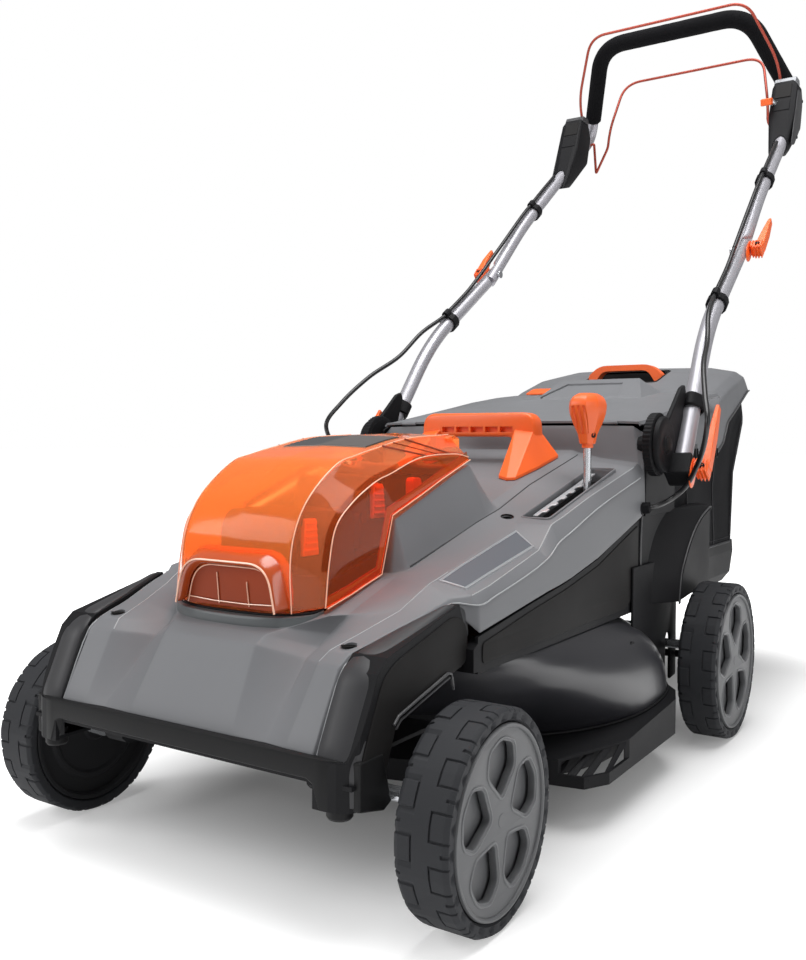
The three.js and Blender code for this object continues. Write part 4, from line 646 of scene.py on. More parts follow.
def hub(place, x, y, r, side):
    """Wheel disc: rim lip, face with five bordered windows, their floor, and the ribbed inner face; the
    borders carry a painted highlight and the inward faces painted shade.
    """
    body = f"wheel_{place}"
    rim = RIM_SHARE * r - 0.4
    windows = [rounded_ring(hub_window(r, i), 6.0) for i in range(WINDOWS)]
    face = side_view(side * (x + 18.5), y, r, side)
    plate(f"hub_face_{place}", circle(0, 0, rim - 4, 96), windows, 7.0, 0.8, face, HUB, body,
          (f"hub_{place}",))
    shell = [(6.4, -17.5), (6.4, -19.5), (15, -20.0), (17, -17.5), (30, -16.0), (rim * 0.62, -16.0),
             (rim * 0.66, -18.5), (rim * 0.7, -18.5), (rim * 0.74, -16.0), (rim - 6, -16.0),
             (rim - 4.5, -22.3), (rim - 1, -22.5), (rim, -21.5), (rim, 22.0), (rim - 0.8, 24.2),
             (rim - 2.2, 24.4), (rim - 3.6, 23.4), (rim - 4.6, 20.6), (rim - 4.6, 13.2), (rim - 12, 13.0),
             (22, 13.0), (6.4, 13.0), (6.4, -17.5)]
    disc = spun(f"hub_shell_{place}", [(a, side * b) for a, b in shell], (side * x, y, r), (1, 0, 0),
                [HUB, HUB_PAINTED_SHADE], body, steps=96)
    # Faces turned in towards the mower take the near-black copy of the hub grey: painted shade.
    for polygon in disc.data.polygons:
        faces_inwards = side * polygon.center.x * 1000 < x + 5
        polygon.material_index = 1 if faces_inwards else 0
    # Raised borders round the windows in the lighter copy of the hub grey: painted highlight.
    for i in range(WINDOWS):
        border = [Vector(p) for p in rounded_ring(hub_window(r, i), 7.0)]
        middle = sum(border, Vector((0, 0))) / len(border)
        wide = [p + (p - middle).normalized() * 2.2 for p in border]
        loop_tube(f"window_edge_{place}_{i}", [face @ Vector((u, v, 3.3)) for u, v in wide], 1.1, HUB_PAINTED_HIGHLIGHT,
                  body)
    spun(f"hub_cap_{place}", [(0.01, side * 2.9), (5.2, side * 2.9), (6.0, side * 2.2), (6.0, -side * 1.5)],
         (side * (x + 19.5), y, r), (1, 0, 0), HUB, body, steps=48)


def loop_tube(name, path, radius, look, body, sides=8):
    """A closed ring of round section along a flat loop."""
    count = len(path)
    centre = sum(path, Vector()) / count
    turns = [(path[i] - centre).cross(path[(i + 1) % count] - centre) for i in range(count)]
    normal = sum(turns, Vector()).normalized()
    points = []
    for i in range(count):
        side = (path[(i + 1) % count] - path[i - 1]).normalized().cross(normal)
        points += [path[i] + side * (radius * c) + normal * (radius * s) for c, s in round_steps(sides)]
    return build(name, points, grid_faces(count, sides, wrap=True, closed=True), look, body)


for place, x, y, r, side, phase in WHEELS:
    tyre(place, x, y, r, side, phase)
    hub(place, x, y, r, side)


# ------------------------------------------------------------------ handle tubes, bails and grip
TUBE_R = 11.0
BASE, BEND, JOINT = (230, 248, 353), (219, 389, 545), (212, 590, 681)
UPPER_BEND, UPPER_LOW, UPPER_CORNER = (210, 700, 785), (204, 1012, 1022), (138, 902, 1164)
LAP = 29.0  # radius round the fold joint inside which both tubes are pressed to half their width
LAP_GAP = 0.25  # from each pressed tube to the joint's middle plane
PAST_JOINT = 19  # reach of each tube's end beyond the joint
GRIP_R, BAIL_R = 15.6, 2.5


def before(start, target, reach):
    """The point `reach` short of the start on the line that leads on to the target."""
    start = Vector(start)
    return tuple(start - (Vector(target) - start).normalized() * reach)


def pressed(points, keep_outside, side):
    """Flattens a tube end against the fold joint's middle plane."""
    out = []
    for p in points:
        gap = math.hypot(p[1] - JOINT[1], p[2] - JOINT[2])
        x = side * p[0]
        if gap < LAP:
            soft = min(1.0, (LAP - gap) / 6)
            edge = JOINT[0] + (LAP_GAP if keep_outside else -LAP_GAP)
            pushed = max(x, edge) if keep_outside else min(x, edge)
            x += (pushed - x) * soft
        out.append((side * x, p[1], p[2]))
    return out


def dense(path, step=5.0):
    """The same path with a point at least every `step` millimetres."""
    path = [Vector(p) for p in path]
    out = [path[0]]
    for a, b in zip(path[:-1], path[1:]):
        count = max(1, int((b - a).length / step))
        out += [a + (b - a) * (k + 1) / count for k in range(count)]
    return out


def make_tubes():
    """The two lower legs and the loop, which lap one another at the fold joints, and the joints' bolts."""
    end = before(JOINT, BEND, PAST_JOINT)
    for side, name in SIDES:
        path = dense(bent([BASE, (*BEND, 60), end], 16))
        points, faces = tube([(side * p[0], p[1], p[2]) for p in path], TUBE_R, 28)
        build(f"lower_leg_{name}", pressed(points, True, side), faces, TUBE, "lower_handle",
              (f"lower_tube_{name}",))
    half = [before(JOINT, UPPER_BEND, PAST_JOINT), (*UPPER_BEND, 50), (*UPPER_LOW, 34), (*UPPER_CORNER, 46)]
    path = dense(bent([*half, *flip(reversed(half))], 16))
    points, faces = tube(path, TUBE_R, 28)
    points = [Vector(q) for p in points for q in pressed([p], False, 1 if p[0] > 0 else -1)]
    build("loop_tube", points, faces, TUBE, "handle_loop", ("upper_handle",))
    for side, name in SIDES:
        spun(f"joint_bolt_{name}", [(0.01, -4), (6.5, -4), (7, -3.4), (7, 0), (3.4, 0.2), (3.4, 12)],
             (side * (JOINT[0] - 11.5), *JOINT[1:]), (side, 0, 0), STEEL, "handle_loop", steps=32)


def make_grip():
    """Foam sleeve with rounded ends and the slight unevenness of foam."""
    low = Vector(UPPER_LOW).lerp(Vector(UPPER_CORNER), 0.2)
    path = dense(bent([tuple(low), (*UPPER_CORNER, 46), (-UPPER_CORNER[0], *UPPER_CORNER[1:], 46),
                       (-low.x, low.y, low.z)], 16), 4.0)
    length = sum((b - a).length for a, b in zip(path[:-1], path[1:]))

    def radius(share):
        from_end = min(share, 1 - share) * length
        shoulder = 1 - max(0.0, 1 - from_end / 5.0) ** 2 * 0.24
        return (GRIP_R + 0.22 * noise.noise(Vector((share * 60, 0.3, 0.7)))) * shoulder

    points, faces = tube(path, radius, 36)
    grip = build("grip_sleeve", points, faces, FOAM, "handle_loop", ("foam_grip",))


def bail(name, body, node_name, half):
    """A bent spring-steel bar; half of it runs from one pivot to the middle."""
    path = dense(bent([*half, *flip(reversed(half))], 12), 5.0)
    rod(name, path, BAIL_R, 16, COPPER, body, (node_name,))


make_tubes()
make_grip()
bail("bail_bar_upper", "bail_blade", "blade_bail",
     [(190, 936, 1012), (191, 934, 1040, 12), (190, 914, 1074, 30), (146, 863, 1172, 30)])
bail("bail_bar_lower", "bail_drive", "drive_bail",
     [(193, 985, 1002), (186, 985, 1004, 4), (181, 985, 942, 5), (157, 988, 992, 8), (156, 992, 1026, 30),
      (137, 1028, 1129, 34)])


# ------------------------------------------------------------------ cables
CABLE_R = 3.2
RISE = -(TUBE_R + 5.6)  # a clipped cable's place off the tube's middle
LOWER_LEG, UPPER_LEG = (BEND, JOINT), (UPPER_BEND, UPPER_LOW)


def beside(leg, along, rise=RISE):
    """The point `along` a tube leg and `rise` off its middle, on the front side."""
    origin, target = Vector(leg[0]), Vector(leg[1])
    way = (target - origin).normalized()
    up = way.cross(Vector((1, 0, 0))).normalized()
    return tuple(origin + way * along + up * rise)


# From the flank of the body in a free bow to the leg, and from there over the joint to the box.
LOWER_ROUTE = [
    (200, 208, 307), (208, 210, 308), (224, 236, 319), (240, 236, 334), (256, 224, 358), (272, 198, 384),
    (278, 190, 412), (268, 214, 444), (252, 262, 484), (238, 326, 520), (226, 372, 560),
    beside(LOWER_LEG, 58), beside(LOWER_LEG, 80), beside(LOWER_LEG, 150), beside(LOWER_LEG, 205, RISE - 4.6),
]
UPPER_ROUTE = [
    beside(LOWER_LEG, 206.5, RISE - 4.6), beside((JOINT, UPPER_BEND), 60, RISE - 4.6), beside(UPPER_LEG, 20),
    beside(UPPER_LEG, 52), beside(UPPER_LEG, 66), beside(UPPER_LEG, 120), beside(UPPER_LEG, 181, RISE + 1),
]


def make_cables():
    """Control cables from the flanks to the handle boxes, in two halves, one across each fold joint; each
    half is a fixed tube.
    """
    for side, name in SIDES:
        for stage, route, bodies, start, end in (
                ("lower", LOWER_ROUTE, ("chassis", "lower_handle"), LOWER_ROUTE[1], LOWER_ROUTE[11]),
                ("upper", UPPER_ROUTE, ("lower_handle", "handle_loop"), UPPER_ROUTE[0], UPPER_ROUTE[2]),
        ):
            fine = dense(smooth_path([(side * p[0], p[1], p[2]) for p in route], 10), 4.0)
            points, faces = tube(fine, CABLE_R, 14)
            made = build(f"control_cable_{stage}_{name}", points, faces, CABLE, None,
                         (f"cable_{stage}_{name}",))
            path = [mm(*p) for p in fine]
            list(bodies)
            mm(side * start[0], *start[1:])
            mm(side * end[0], *end[1:])
            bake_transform(made)


make_cables()


# ------------------------------------------------------------------ grey top cover
# Half rows of the cover as in the CAD, front to rear: middle, panel edge, valley, edge of the
# raised shoulder, outer shoulder edge, side fold and lower edge.
COVER_ROWS = [
    [(0, -388, 147), (60, -388, 147), (95, -386, 147), (118, -389, 147), (146, -390, 147), (148, -388.5, 142),
     (149, -387, 138)],
    [(0, -351, 215), (54, -350, 214), (90, -326, 203), (122, -352, 208), (147, -357, 209), (149.5, -356, 205),
     (150, -355, 199)],
    [(0, -339, 223), (56, -338, 222), (91, -310, 210), (126, -341, 217), (148, -345, 217), (151, -344.5, 213),
     (152, -344, 208)],
    [(0, -322, 226), (66, -322, 226), (94, -297, 220), (134, -301, 228), (157, -298, 229), (160.5, -298, 225),
     (161, -298, 219)],
    [(0, -300, 236), (95, -300, 236), (104, -285, 236), (142, -262, 240), (166, -262, 239), (170, -262, 235),
     (170.5, -262, 229)],
    [(0, -222, 258), (95, -222, 258), (104, -212, 259), (148, -222, 260), (173, -228, 249), (177, -228, 244),
     (178, -228, 238)],
    [(0, -212, 260), (94, -212, 260), (104, -204, 261), (149, -206, 263), (187, -212, 251), (194, -212, 242),
     (195, -211, 218)],
    [(0, -196, 262), (94, -200, 262), (105, -194, 264), (149, -190, 267), (188, -196, 253),
     (194.2, -194, 244), (195.2, -194, 220.5)],
    [(0, -190, 313), (91, -190, 313), (106, -188, 266), (149, -180, 270), (188, -180, 256),
     (194.4, -180, 247), (195.4, -180, 222.5)],
    [(0, -62, 358), (91, -62, 358), (109, -62, 302), (149, -58, 297), (184, -66, 278), (194.4, -68, 270),
     (195.6, -68, 237.5)],
    [(0, -42, 363), (90, -42, 363), (110, -40, 308), (141, -37, 303), (183, -34, 302), (194.4, -40, 284),
     (195.8, -40, 240.5)],
    [(0, -8, 320), (98, -8, 320), (110, -12, 314), (141, -10, 310), (183, -8, 308), (194.6, -8, 293),
     (196, -8, 245)],
    [(0, 65, 342), (99, 65, 342), (110, 65, 338), (141, 65, 328.5), (185, 65, 327), (194.8, 65, 314),
     (196.2, 65, 259)],
    [(0, 200, 374), (100, 200, 374), (110, 200, 370), (141, 200, 362.5), (187, 200, 357), (195, 200, 344),
     (196.4, 200, 295)],
    [(0, 213, 377), (100, 213, 377), (110, 213, 374), (141, 213, 367), (187, 213, 362), (195, 213, 350),
     (196.4, 213, 300)],
    [(0, 215, 409), (100, 215, 409), (110, 215, 409), (141, 215, 409), (180, 215, 408), (193, 221, 399),
     (196.4, 222, 300)],
]
SLOT = (142, 173, -20, 172)  # lever slot: x and y reaches
SLOPE = 0.252  # of the shoulder that the slot lies in
BAY_HOLE = (-84, 84, -300, -52, 200, 372)  # x, y and z reaches of the hole under the clear cover
SCREWS = ((138, -330, 222), (129, -28, 304))  # cover screws on each side
WELL_R = 6.4


def shoulder_z(y):
    return 304.5 + SLOPE * (y + 30)


def grown_ring(x0, x1, y0, y1, radius, grow):
    """A rounded rectangle in plan, `grow` mm larger on every side."""
    corners = [(x0 - grow, y0 - grow), (x1 + grow, y0 - grow), (x1 + grow, y1 + grow), (x0 - grow, y1 + grow)]
    return rounded_ring(corners, radius + grow)


def slot_ring(grow):
    return grown_ring(*SLOT, 5, grow)


def prism(ring, low, high):
    """Closed body on a ring of (x, y): low and high give its height at each point."""
    count = len(ring)
    points = [(x, y, low(x, y)) for x, y in ring] + [(x, y, high(x, y)) for x, y in ring]
    return points, end_caps(2, count) + grid_faces(2, count, wrap=True)


def carve(piece, cutters):
    """Cuts closed bodies out of a piece and keeps its modifiers' result."""
    for i, (points, faces) in enumerate(cutters):
        tool = build(f"cutter_{i}", points, faces, GREY, None, sharp=180)
        hole = piece.modifiers.new("hole", "BOOLEAN")
        hole.object, hole.operation, hole.solver = tool, "DIFFERENCE", "EXACT"
    baked(piece)
    for tool in [o for o in bpy.data.objects if o.name.startswith("cutter_")]:
        bpy.data.objects.remove(tool)
    piece.data.set_sharp_from_angle(angle=math.radians(30))
    return piece


def make_cover():
    """The moulded cowl, opened for the battery bay, the lever and four screws."""
    rows = supported(mirrored_rows(COVER_ROWS), 2.4)
    grid = supported(rows.transpose(1, 0, 2), 2.0).transpose(1, 0, 2)
    cover = grid_piece("cover_skin", grid, GREY, "chassis", ("top_cover",), sharp=180)
    smooth_sheet(cover, 2.6, 1, offset=wall_offset(cover))
    cutters = [(box8(*BAY_HOLE), BOX_FACES),
               prism(slot_ring(0), lambda x, y: shoulder_z(y) - 60, lambda x, y: shoulder_z(y) + 60)]
    for x, y, z in SCREWS:
        cutters += [prism(circle(side * x, y, WELL_R), lambda x, y: z - 30, lambda x, y: z + 25)
                    for side in (1, -1)]
    return carve(cover, cutters)


def wall_offset(piece):
    """Side of a sheet that its wall grows to, so that the wall always lies below the sheet."""
    up = sum(f.normal.z * f.area for f in piece.data.polygons)
    return 1.0 if up < 0 else -1.0


COVER = make_cover()


def on_top(piece, x, y, lift=0.0):
    """The point `lift` mm above the upper face of a piece at a place in plan."""
    hit, at, _, _ = piece.ray_cast(mm(x, y, 1000), Vector((0, 0, -1)))
    return (x, y, at.z * 1000 + lift if hit else 0.0)


def make_cover_screw(label, side, x, y, tilt):
    """A screw deep in its well; it leans as the cover does, and by tilt along the mower."""
    outer, inner = (on_top(COVER, side * (x + d), y)[2] for d in (7.5, -7.5))
    centre = (side * x, y, outer * 0.5 + inner * 0.5)
    up = ((inner - outer) / 15, tilt, 1)
    spun(f"screw_well_{label}", [(7.4, -0.2), (7.0, 0.5), (6.3, 0.3), (6.2, -12), (0.01, -12.2)],
         centre, up, BLACK_SOFT, "chassis")
    spun(f"screw_head_{label}", [(0.01, -9.8), (1.6, -10), (2.2, -8.8), (4.2, -9), (5.0, -10), (5.0, -12)],
         centre, up, DARK, "chassis", steps=24)


for side, name in SIDES:
    for i, (x, y, _) in enumerate(SCREWS):
        make_cover_screw(f"{name}_{i}", side, x, y, 0.12 if i == 0 else -0.25)
    tower = slab(193.2, 196.6, ((216, 296), (331, 296), (331, 423), (232, 410.5), (217, 403)))
    rounded_box(f"rear_tower_{name}", tower, BLACK, "chassis", bevel=1.0, mirror=side < 0)
    spun(f"cable_gland_{name}", [(3.5, 6.0), (5.0, 6.4), (6.8, 5.0), (7.2, -4.0), (9.0, -4.4), (9.0, -7.0)],
         (side * 200, 208, 307), (side, 0.1, 0.1), BLACK, "chassis", steps=36)


def ring_wall(name, outer, inner, low, high, look, body):
    """A wall between two matching rings, with softened rims."""
    points = [(x, y, low(y)) for x, y in outer] + [(x, y, high(y)) for x, y in outer]
    points += [(x, y, high(y)) for x, y in inner] + [(x, y, low(y)) for x, y in inner]
    made = build(name, points, grid_faces(4, len(outer), wrap=True, closed=True), look, body, sharp=40)
    return bevelled(made, 0.6, 2, 40)


def make_lever_slot():
    """Liner of the lever slot and its floor, which is open under the comb."""
    ring_wall("lever_slot_liner", slot_ring(2.4), slot_ring(0.1), lambda y: shoulder_z(y) - 17,
              lambda y: shoulder_z(y) + 0.9, GREY, "chassis")
    points, faces = prism(slot_ring(2.0), lambda x, y: shoulder_z(y) - 19, lambda x, y: shoulder_z(y) - 16.5)
    opening = prism([(152, -14), (167, -14), (167, 166), (152, 166)], lambda x, y: 200, lambda x, y: 500)
    carve(build("lever_slot_floor", points, faces, BLACK, "chassis"), [opening])


make_lever_slot()


def laid_plate(name, piece, corners, looks, body, lift=1.2, border=2.6, steps=12):
    """A thin plate with a raised double border that follows the face of another piece."""
    def at(u, v, rise):
        a, b, c, d = (Vector(p) for p in corners)
        spot = (a * (1 - u) + b * u) * (1 - v) + (d * (1 - u) + c * u) * v
        return on_top(piece, spot.x, spot.y, rise)

    wide = (Vector(corners[1]) - Vector(corners[0])).length
    deep = (Vector(corners[3]) - Vector(corners[0])).length
    edge_marks = [0, 0.4, 1.0, 1.6, border, border + 0.5]
    across, along = (
        [m / size for m in edge_marks] + [k / steps for k in range(1, steps)]
        + [1 - m / size for m in edge_marks[::-1]]
        for size in (wide, deep))
    rises = {0: -0.6, 1: lift, 2: lift, 3: lift * 0.5, 4: lift, 5: lift * 0.7}
    grid = []
    for i, v in enumerate(along):
        row = []
        for j, u in enumerate(across):
            ring = min(i, j, len(along) - 1 - i, len(across) - 1 - j)
            row.append(at(u, v, rises.get(ring, lift * 0.7)))
        grid.append(row)
    made = grid_piece(name, np.array(grid), looks, body, sharp=30)
    columns = len(across) - 1
    for face in made.data.polygons:
        i, j = divmod(face.index, columns)
        ring = min(i, j, len(along) - 2 - i, columns - 1 - j)
        face.material_index = 0 if ring >= 4 else 1
    return made


for side, name in SIDES:
    corners = [(side * 178, -206), (side * 179, -66), (side * 153, -56), (side * 152, -212)]
    laid_plate(f"label_plate_{name}", COVER, corners, [PLATE, PLATE_EDGE], "chassis")


# name, points in plan, radius, look, lift off the cover
COVER_LINES = (
    # A dark line along the valley: painted shade.
    ("groove", ((105.5, -186), (109.5, -62), (111, -40), (110.5, 62), (110.8, 205)), 0.9, VALLEY_PAINTED_SHADE, -0.3),
    # Light lines along the edge of the raised shoulder and the outer shoulder edge: painted highlights.
    ("shoulder_line", ((122, -350), (126, -340), (134, -300), (143, -262), (149, -222), (149.5, -190)),
     0.55, GREY_PAINTED_HIGHLIGHT, -0.1),
    ("rim_line", ((186.5, -212), (187.4, -180), (183.6, -66), (182.6, -34), (184.6, 65), (186.6, 200)),
     0.7, GREY_PAINTED_HIGHLIGHT, -0.15),
)
COVER_RIM = (
    (148.4, -388.6, 143.2), (149.8, -356.6, 206), (151.2, -344.8, 214), (160.4, -298.4, 226),
    (170, -262.4, 236), (177, -228.4, 245.2), (194, -212, 243), (194.5, -180, 247.5), (194.6, -68, 270.5),
    (194.6, -40, 284.5), (194.8, -8, 293.5), (195, 65, 314.5), (195.2, 200, 344),
)


def make_cover_lines(side, name):
    """Thin lines laid along the cover: painted highlights on its shoulder and rim edges, painted shade along
    the valley, and a painted highlight along the lower edge of its rim.
    """
    for line, spots, radius, look, lift in COVER_LINES:
        path = dense([(x, y, 0) for x, y in spots], 6.0)
        laid = [(x, y, on_top(COVER, side * x, y)[2] + lift) for x, y, _ in path]
        points, faces = tube(laid, radius, 8)
        build(f"{line}_{name}", points, faces, look, "chassis", mirror=side < 0)
    # The light line along the lower edge of the rim: a painted highlight.
    rod(f"cover_edge_{name}", smooth_path(COVER_RIM, 4), 0.75, 8, GREY_PAINTED_HIGHLIGHT, "chassis", mirror=side < 0)


for side, name in SIDES:
    make_cover_lines(side, name)


# ------------------------------------------------------------------ clear battery cover
# Half rows front to rear: middle, edge of the top, edge of the side panel, lower edge.
CLEAR_ROWS = [
    [(0, -318, 236.8), (65, -315, 236.8), (90, -299, 242), (91, -297, 241.5)],
    [(0, -320, 280), (65, -317, 280), (90, -294, 279), (92, -280, 246)],
    [(0, -312, 312), (65, -309, 312), (90, -284, 312), (92, -262, 250)],
    [(0, -291, 341), (65, -288, 340), (90, -258, 333), (92, -240, 256)],
    [(0, -252, 367), (65, -250, 366), (90, -222, 350), (92, -214, 262.5)],
    [(0, -222, 376), (65, -220, 374), (90, -196, 357), (92, -196, 317)],
    [(0, -184, 383), (65, -184, 381), (90, -142, 371.5), (92, -142, 335)],
    [(0, -124, 393), (65, -124, 391), (90, -75, 374.5), (92, -100, 350)],
    [(0, -45, 397), (65, -45, 395), (90, -44, 371), (92, -44, 368)],
]


def inset_band(edge, width):
    """Rows of a strip inside the side panel, along its lower edge."""
    out = []
    for i, (x, y, z) in enumerate(edge):
        ahead, behind = edge[min(i + 1, len(edge) - 1)], edge[max(i - 1, 0)]
        first, last = Vector((y - behind[1], z - behind[2])), Vector((ahead[1] - y, ahead[2] - z))
        way = sum((v.normalized() for v in (first, last) if v.length > 0), Vector((0, 0))).normalized()
        side_way = first if first.length > 0 else last
        turn = max(abs(way.dot(side_way.normalized())), 0.6)
        n = Vector((-way.y, way.x)) / turn
        section = ((0.6, 0.3), (1.4, -0.4), (width - 1.4, -0.4), (width, 0.3))
        out.append([(x - 2.9 - lift, y + n.x * d, z + n.y * d) for d, lift in section])
    return np.array(out, dtype=float)


def make_clear_cover():
    """Smoked amber shell whose top and bevel strip carry a painted reflection, with ribs in a painted
    highlight colour, a dark frame in each side, hinge knuckles and slots.
    """
    rows = curved(np.array(CLEAR_ROWS, dtype=float), 6)
    marks = np.linspace(0, len(CLEAR_ROWS) - 1, len(rows))
    for axis in range(3):  # the lower edge stays a run of straight stretches
        rows[:, 3, axis] = np.interp(marks, range(len(CLEAR_ROWS)), [row[3][axis] for row in CLEAR_ROWS])
    grid = supported(mirrored_rows(rows.tolist()).transpose(1, 0, 2), 1.6).transpose(1, 0, 2)
    shell = grid_piece("clear_shell", grid, [AMBER_TOP_PAINTED_REFLECTION, AMBER_STRIP_PAINTED_REFLECTION, AMBER_SIDE], "bay_cover",
                       ("battery_cover",), sharp=180)
    # Top and bevel strip take the painted-reflection copies of the amber; the side takes the clear amber.
    for face in shell.data.polygons:
        x = abs(sum((shell.data.vertices[v].co.x for v in face.vertices)) / len(face.vertices)) * 1000
        face.material_index = 0 if x < 65 else 1 if x < 89.4 else 2
    smooth_sheet(shell, 2.4, 1, offset=wall_offset(shell))
    knuckle = slab(58.2, 73.8, ((-61, 391), (-59, 380), (-35, 380), (-35, 391), (-46, 394.6)))
    for side, name in SIDES:
        out = np.array([side, 1, 1])
        # Ribs along the top, strip and side edges, in the painted highlight colour.
        for i in range(3):
            rod(f"cover_rib_{name}_{i}", dense(rows[:, i + 1] * out, 4.0), 0.62, 8, AMBER_PAINTED_HIGHLIGHT, "bay_cover")
        band = inset_band([row[3] for row in CLEAR_ROWS], 8.5) * out
        grid_piece(f"cover_frame_{name}", band, AMBER_DEEP, "bay_cover")
        for k, (column, look) in enumerate(((0, AMBER_PAINTED_HIGHLIGHT), (3, AMBER_LINE))):
            rod(f"cover_frame_line_{name}_{k}", dense(band[:, column], 4.0), 0.7, 8, look, "bay_cover")
        rounded_box(f"cover_knuckle_{name}", knuckle, AMBER_TOP_PAINTED_REFLECTION, "bay_cover", bevel=1.2, mirror=side < 0)
    for side, name in SIDES:
        for i, (row, radius) in enumerate(((37, 1.1), (39, 0.6), (41, 1.1))):
            a, b = Vector(rows[row][1]), Vector(rows[row][2])
            spots = [a.lerp(b, share) + Vector((0, 0, 0.4)) for share in (0.02, 0.35, 0.7, 0.98)]
            slot = [(side * p.x, p.y, p.z) for p in spots]
            rod(f"cover_slot_{name}_{i}", slot, radius, 8, AMBER_LINE, "bay_cover")


make_clear_cover()


def pull_ring(grow, z_top):
    """Arch of the pull: up one side, over and down the other, in the x-z plane."""
    half, low = 60 + grow, 238.0
    return bent([(-half, 0, low), (-half + 9, 0, z_top, 22), (half - 9, 0, z_top, 22), (half, 0, low)], 8)


def make_pull():
    """Hooded finger pull at the foot of the clear cover: its hood; its edges and ribs, in a painted highlight
    colour; and its hollow, closed by a flat face in painted shade.
    """
    sections = ((-308, 6, 292), (-320, 3, 287), (-329.5, 0, 281.5), (-331, -1.5, 279.5), (-329.5, -4, 277),
                (-321, -5.5, 275.5))
    hood = [[(p.x, y, p.z) for p in pull_ring(grow, top)] for y, grow, top in sections]
    smooth_sheet(grid_piece("cover_pull", hood, AMBER_HOOD, "bay_cover", sharp=60), 1.6, 1)
    for i, (y, grow, top, radius) in enumerate(((-331.2, -1.0, 280, 0.9), (-320.5, -6.5, 274.5, 0.7))):
        path = dense([(p.x, y, p.z) for p in pull_ring(grow, top)], 4.0)
        rod(f"pull_edge_{i}", path, radius, 8, AMBER_PAINTED_HIGHLIGHT, "bay_cover")
    # A flat face in dark amber closes the hollow under the hood: painted shade.
    hollow = [(p.x, -320.6, p.z) for p in pull_ring(-6.5, 274.5)]
    build("pull_inside", hollow, [list(range(len(hollow)))], AMBER_PAINTED_SHADE, "bay_cover")
    for i, (x, top) in enumerate(((-14, 268), (22, 262))):
        rib = [(x, -321.4, 240), (x - 2, -321.6, top - 8), (x - 3, -321.4, top)]
        rod(f"pull_rib_{i}", rib, 0.6, 6, AMBER_PAINTED_HIGHLIGHT, "bay_cover")
    foot = [(-50, -321.6, 243.5), (-20, -322, 242), (20, -322, 242), (50, -321.6, 243.5)]
    rod("pull_foot_line", foot, 0.6, 6, AMBER_PAINTED_HIGHLIGHT, "bay_cover")


make_pull()
laid_plate("badge_plate", bpy.data.objects["clear_shell"], [(-52, -184), (52, -184), (52, -122), (-52, -122)],
           [BADGE, BADGE_EDGE], "bay_cover", lift=0.8, border=1.6)


# ------------------------------------------------------------------ rim round the foot of the cover
# Half of the rim from the middle outwards: x and y outside, x and y inside, height.
RIM_HALF = ((0, -331, 0, -318, 228.2), (63, -322, 58, -314, 229.4), (82, -306, 80, -303, 232),
            (86, -296, 84, -296, 235))


def make_rim():
    """Dark plinth that the clear cover shuts on, with a thin black joint above it."""
    outer, inner = mirrored_rows([[(x, y, z) for x, y, _, _, z in RIM_HALF],
                                  [(x, y, z) for _, _, x, y, z in RIM_HALF]])
    pairs = list(zip(smooth_path(outer, 8), smooth_path(inner, 8)))
    rows = [[(a.x, a.y, a.z - 7) for a, b in pairs],
            [(a.x, a.y, a.z + 2.6) for a, b in pairs],
            [(a.x * 0.985 + b.x * 0.015, a.y * 0.9 + b.y * 0.1, a.z + 4.6) for a, b in pairs],
            [(b.x, b.y, a.z + 5.6) for a, b in pairs],
            [(b.x, b.y, a.z - 4) for a, b in pairs]]
    grid_piece("cover_plinth", rows, PLINTH, "chassis", sharp=28)
    seam = [(a.x * 0.25 + b.x * 0.75, a.y * 0.25 + b.y * 0.75, a.z + 5.9) for a, b in pairs]
    rod("cover_seal", dense(seam, 4.0), 1.5, 8, BLACK, "chassis")


make_rim()


# ------------------------------------------------------------------ front of the body
# y and x of the grey cover's edge in plan, which the fender strip follows.
COVER_EDGE = [(-395, 148.2), (-355, 150.9), (-344, 153), (-298, 162.2), (-262, 171.6), (-228, 179.4),
              (-216, 183.5)]
FENDER_X = 185.8  # outer face of the fender strip
# share of the way from the cover's edge to the outer face, and lift, across the fender strip
FENDER_SECTION = ((0, -5), (0.0, 0.2), (0.04, 1.3), (0.3, 1.7), (0.55, 1.2), (0.75, -0.6), (0.9, -3.6),
                  (0.98, -7.5), (1, -12), (1, -22))
ARCH_LIP = ((188.2, -340, 165.5), (188.2, -333, 171), (188.2, -256, 190), (188.2, -250, 188.5),
            (187.4, -247, 178))


def outwards(path):
    """Unit vectors square to a (y, z) path, on its left hand when it runs up and back."""
    out = []
    for i in range(len(path)):
        way = (path[min(i + 1, len(path) - 1)] - path[max(i - 1, 0)]).normalized()
        out.append(Vector((0, -way.z, way.y)))
    return out


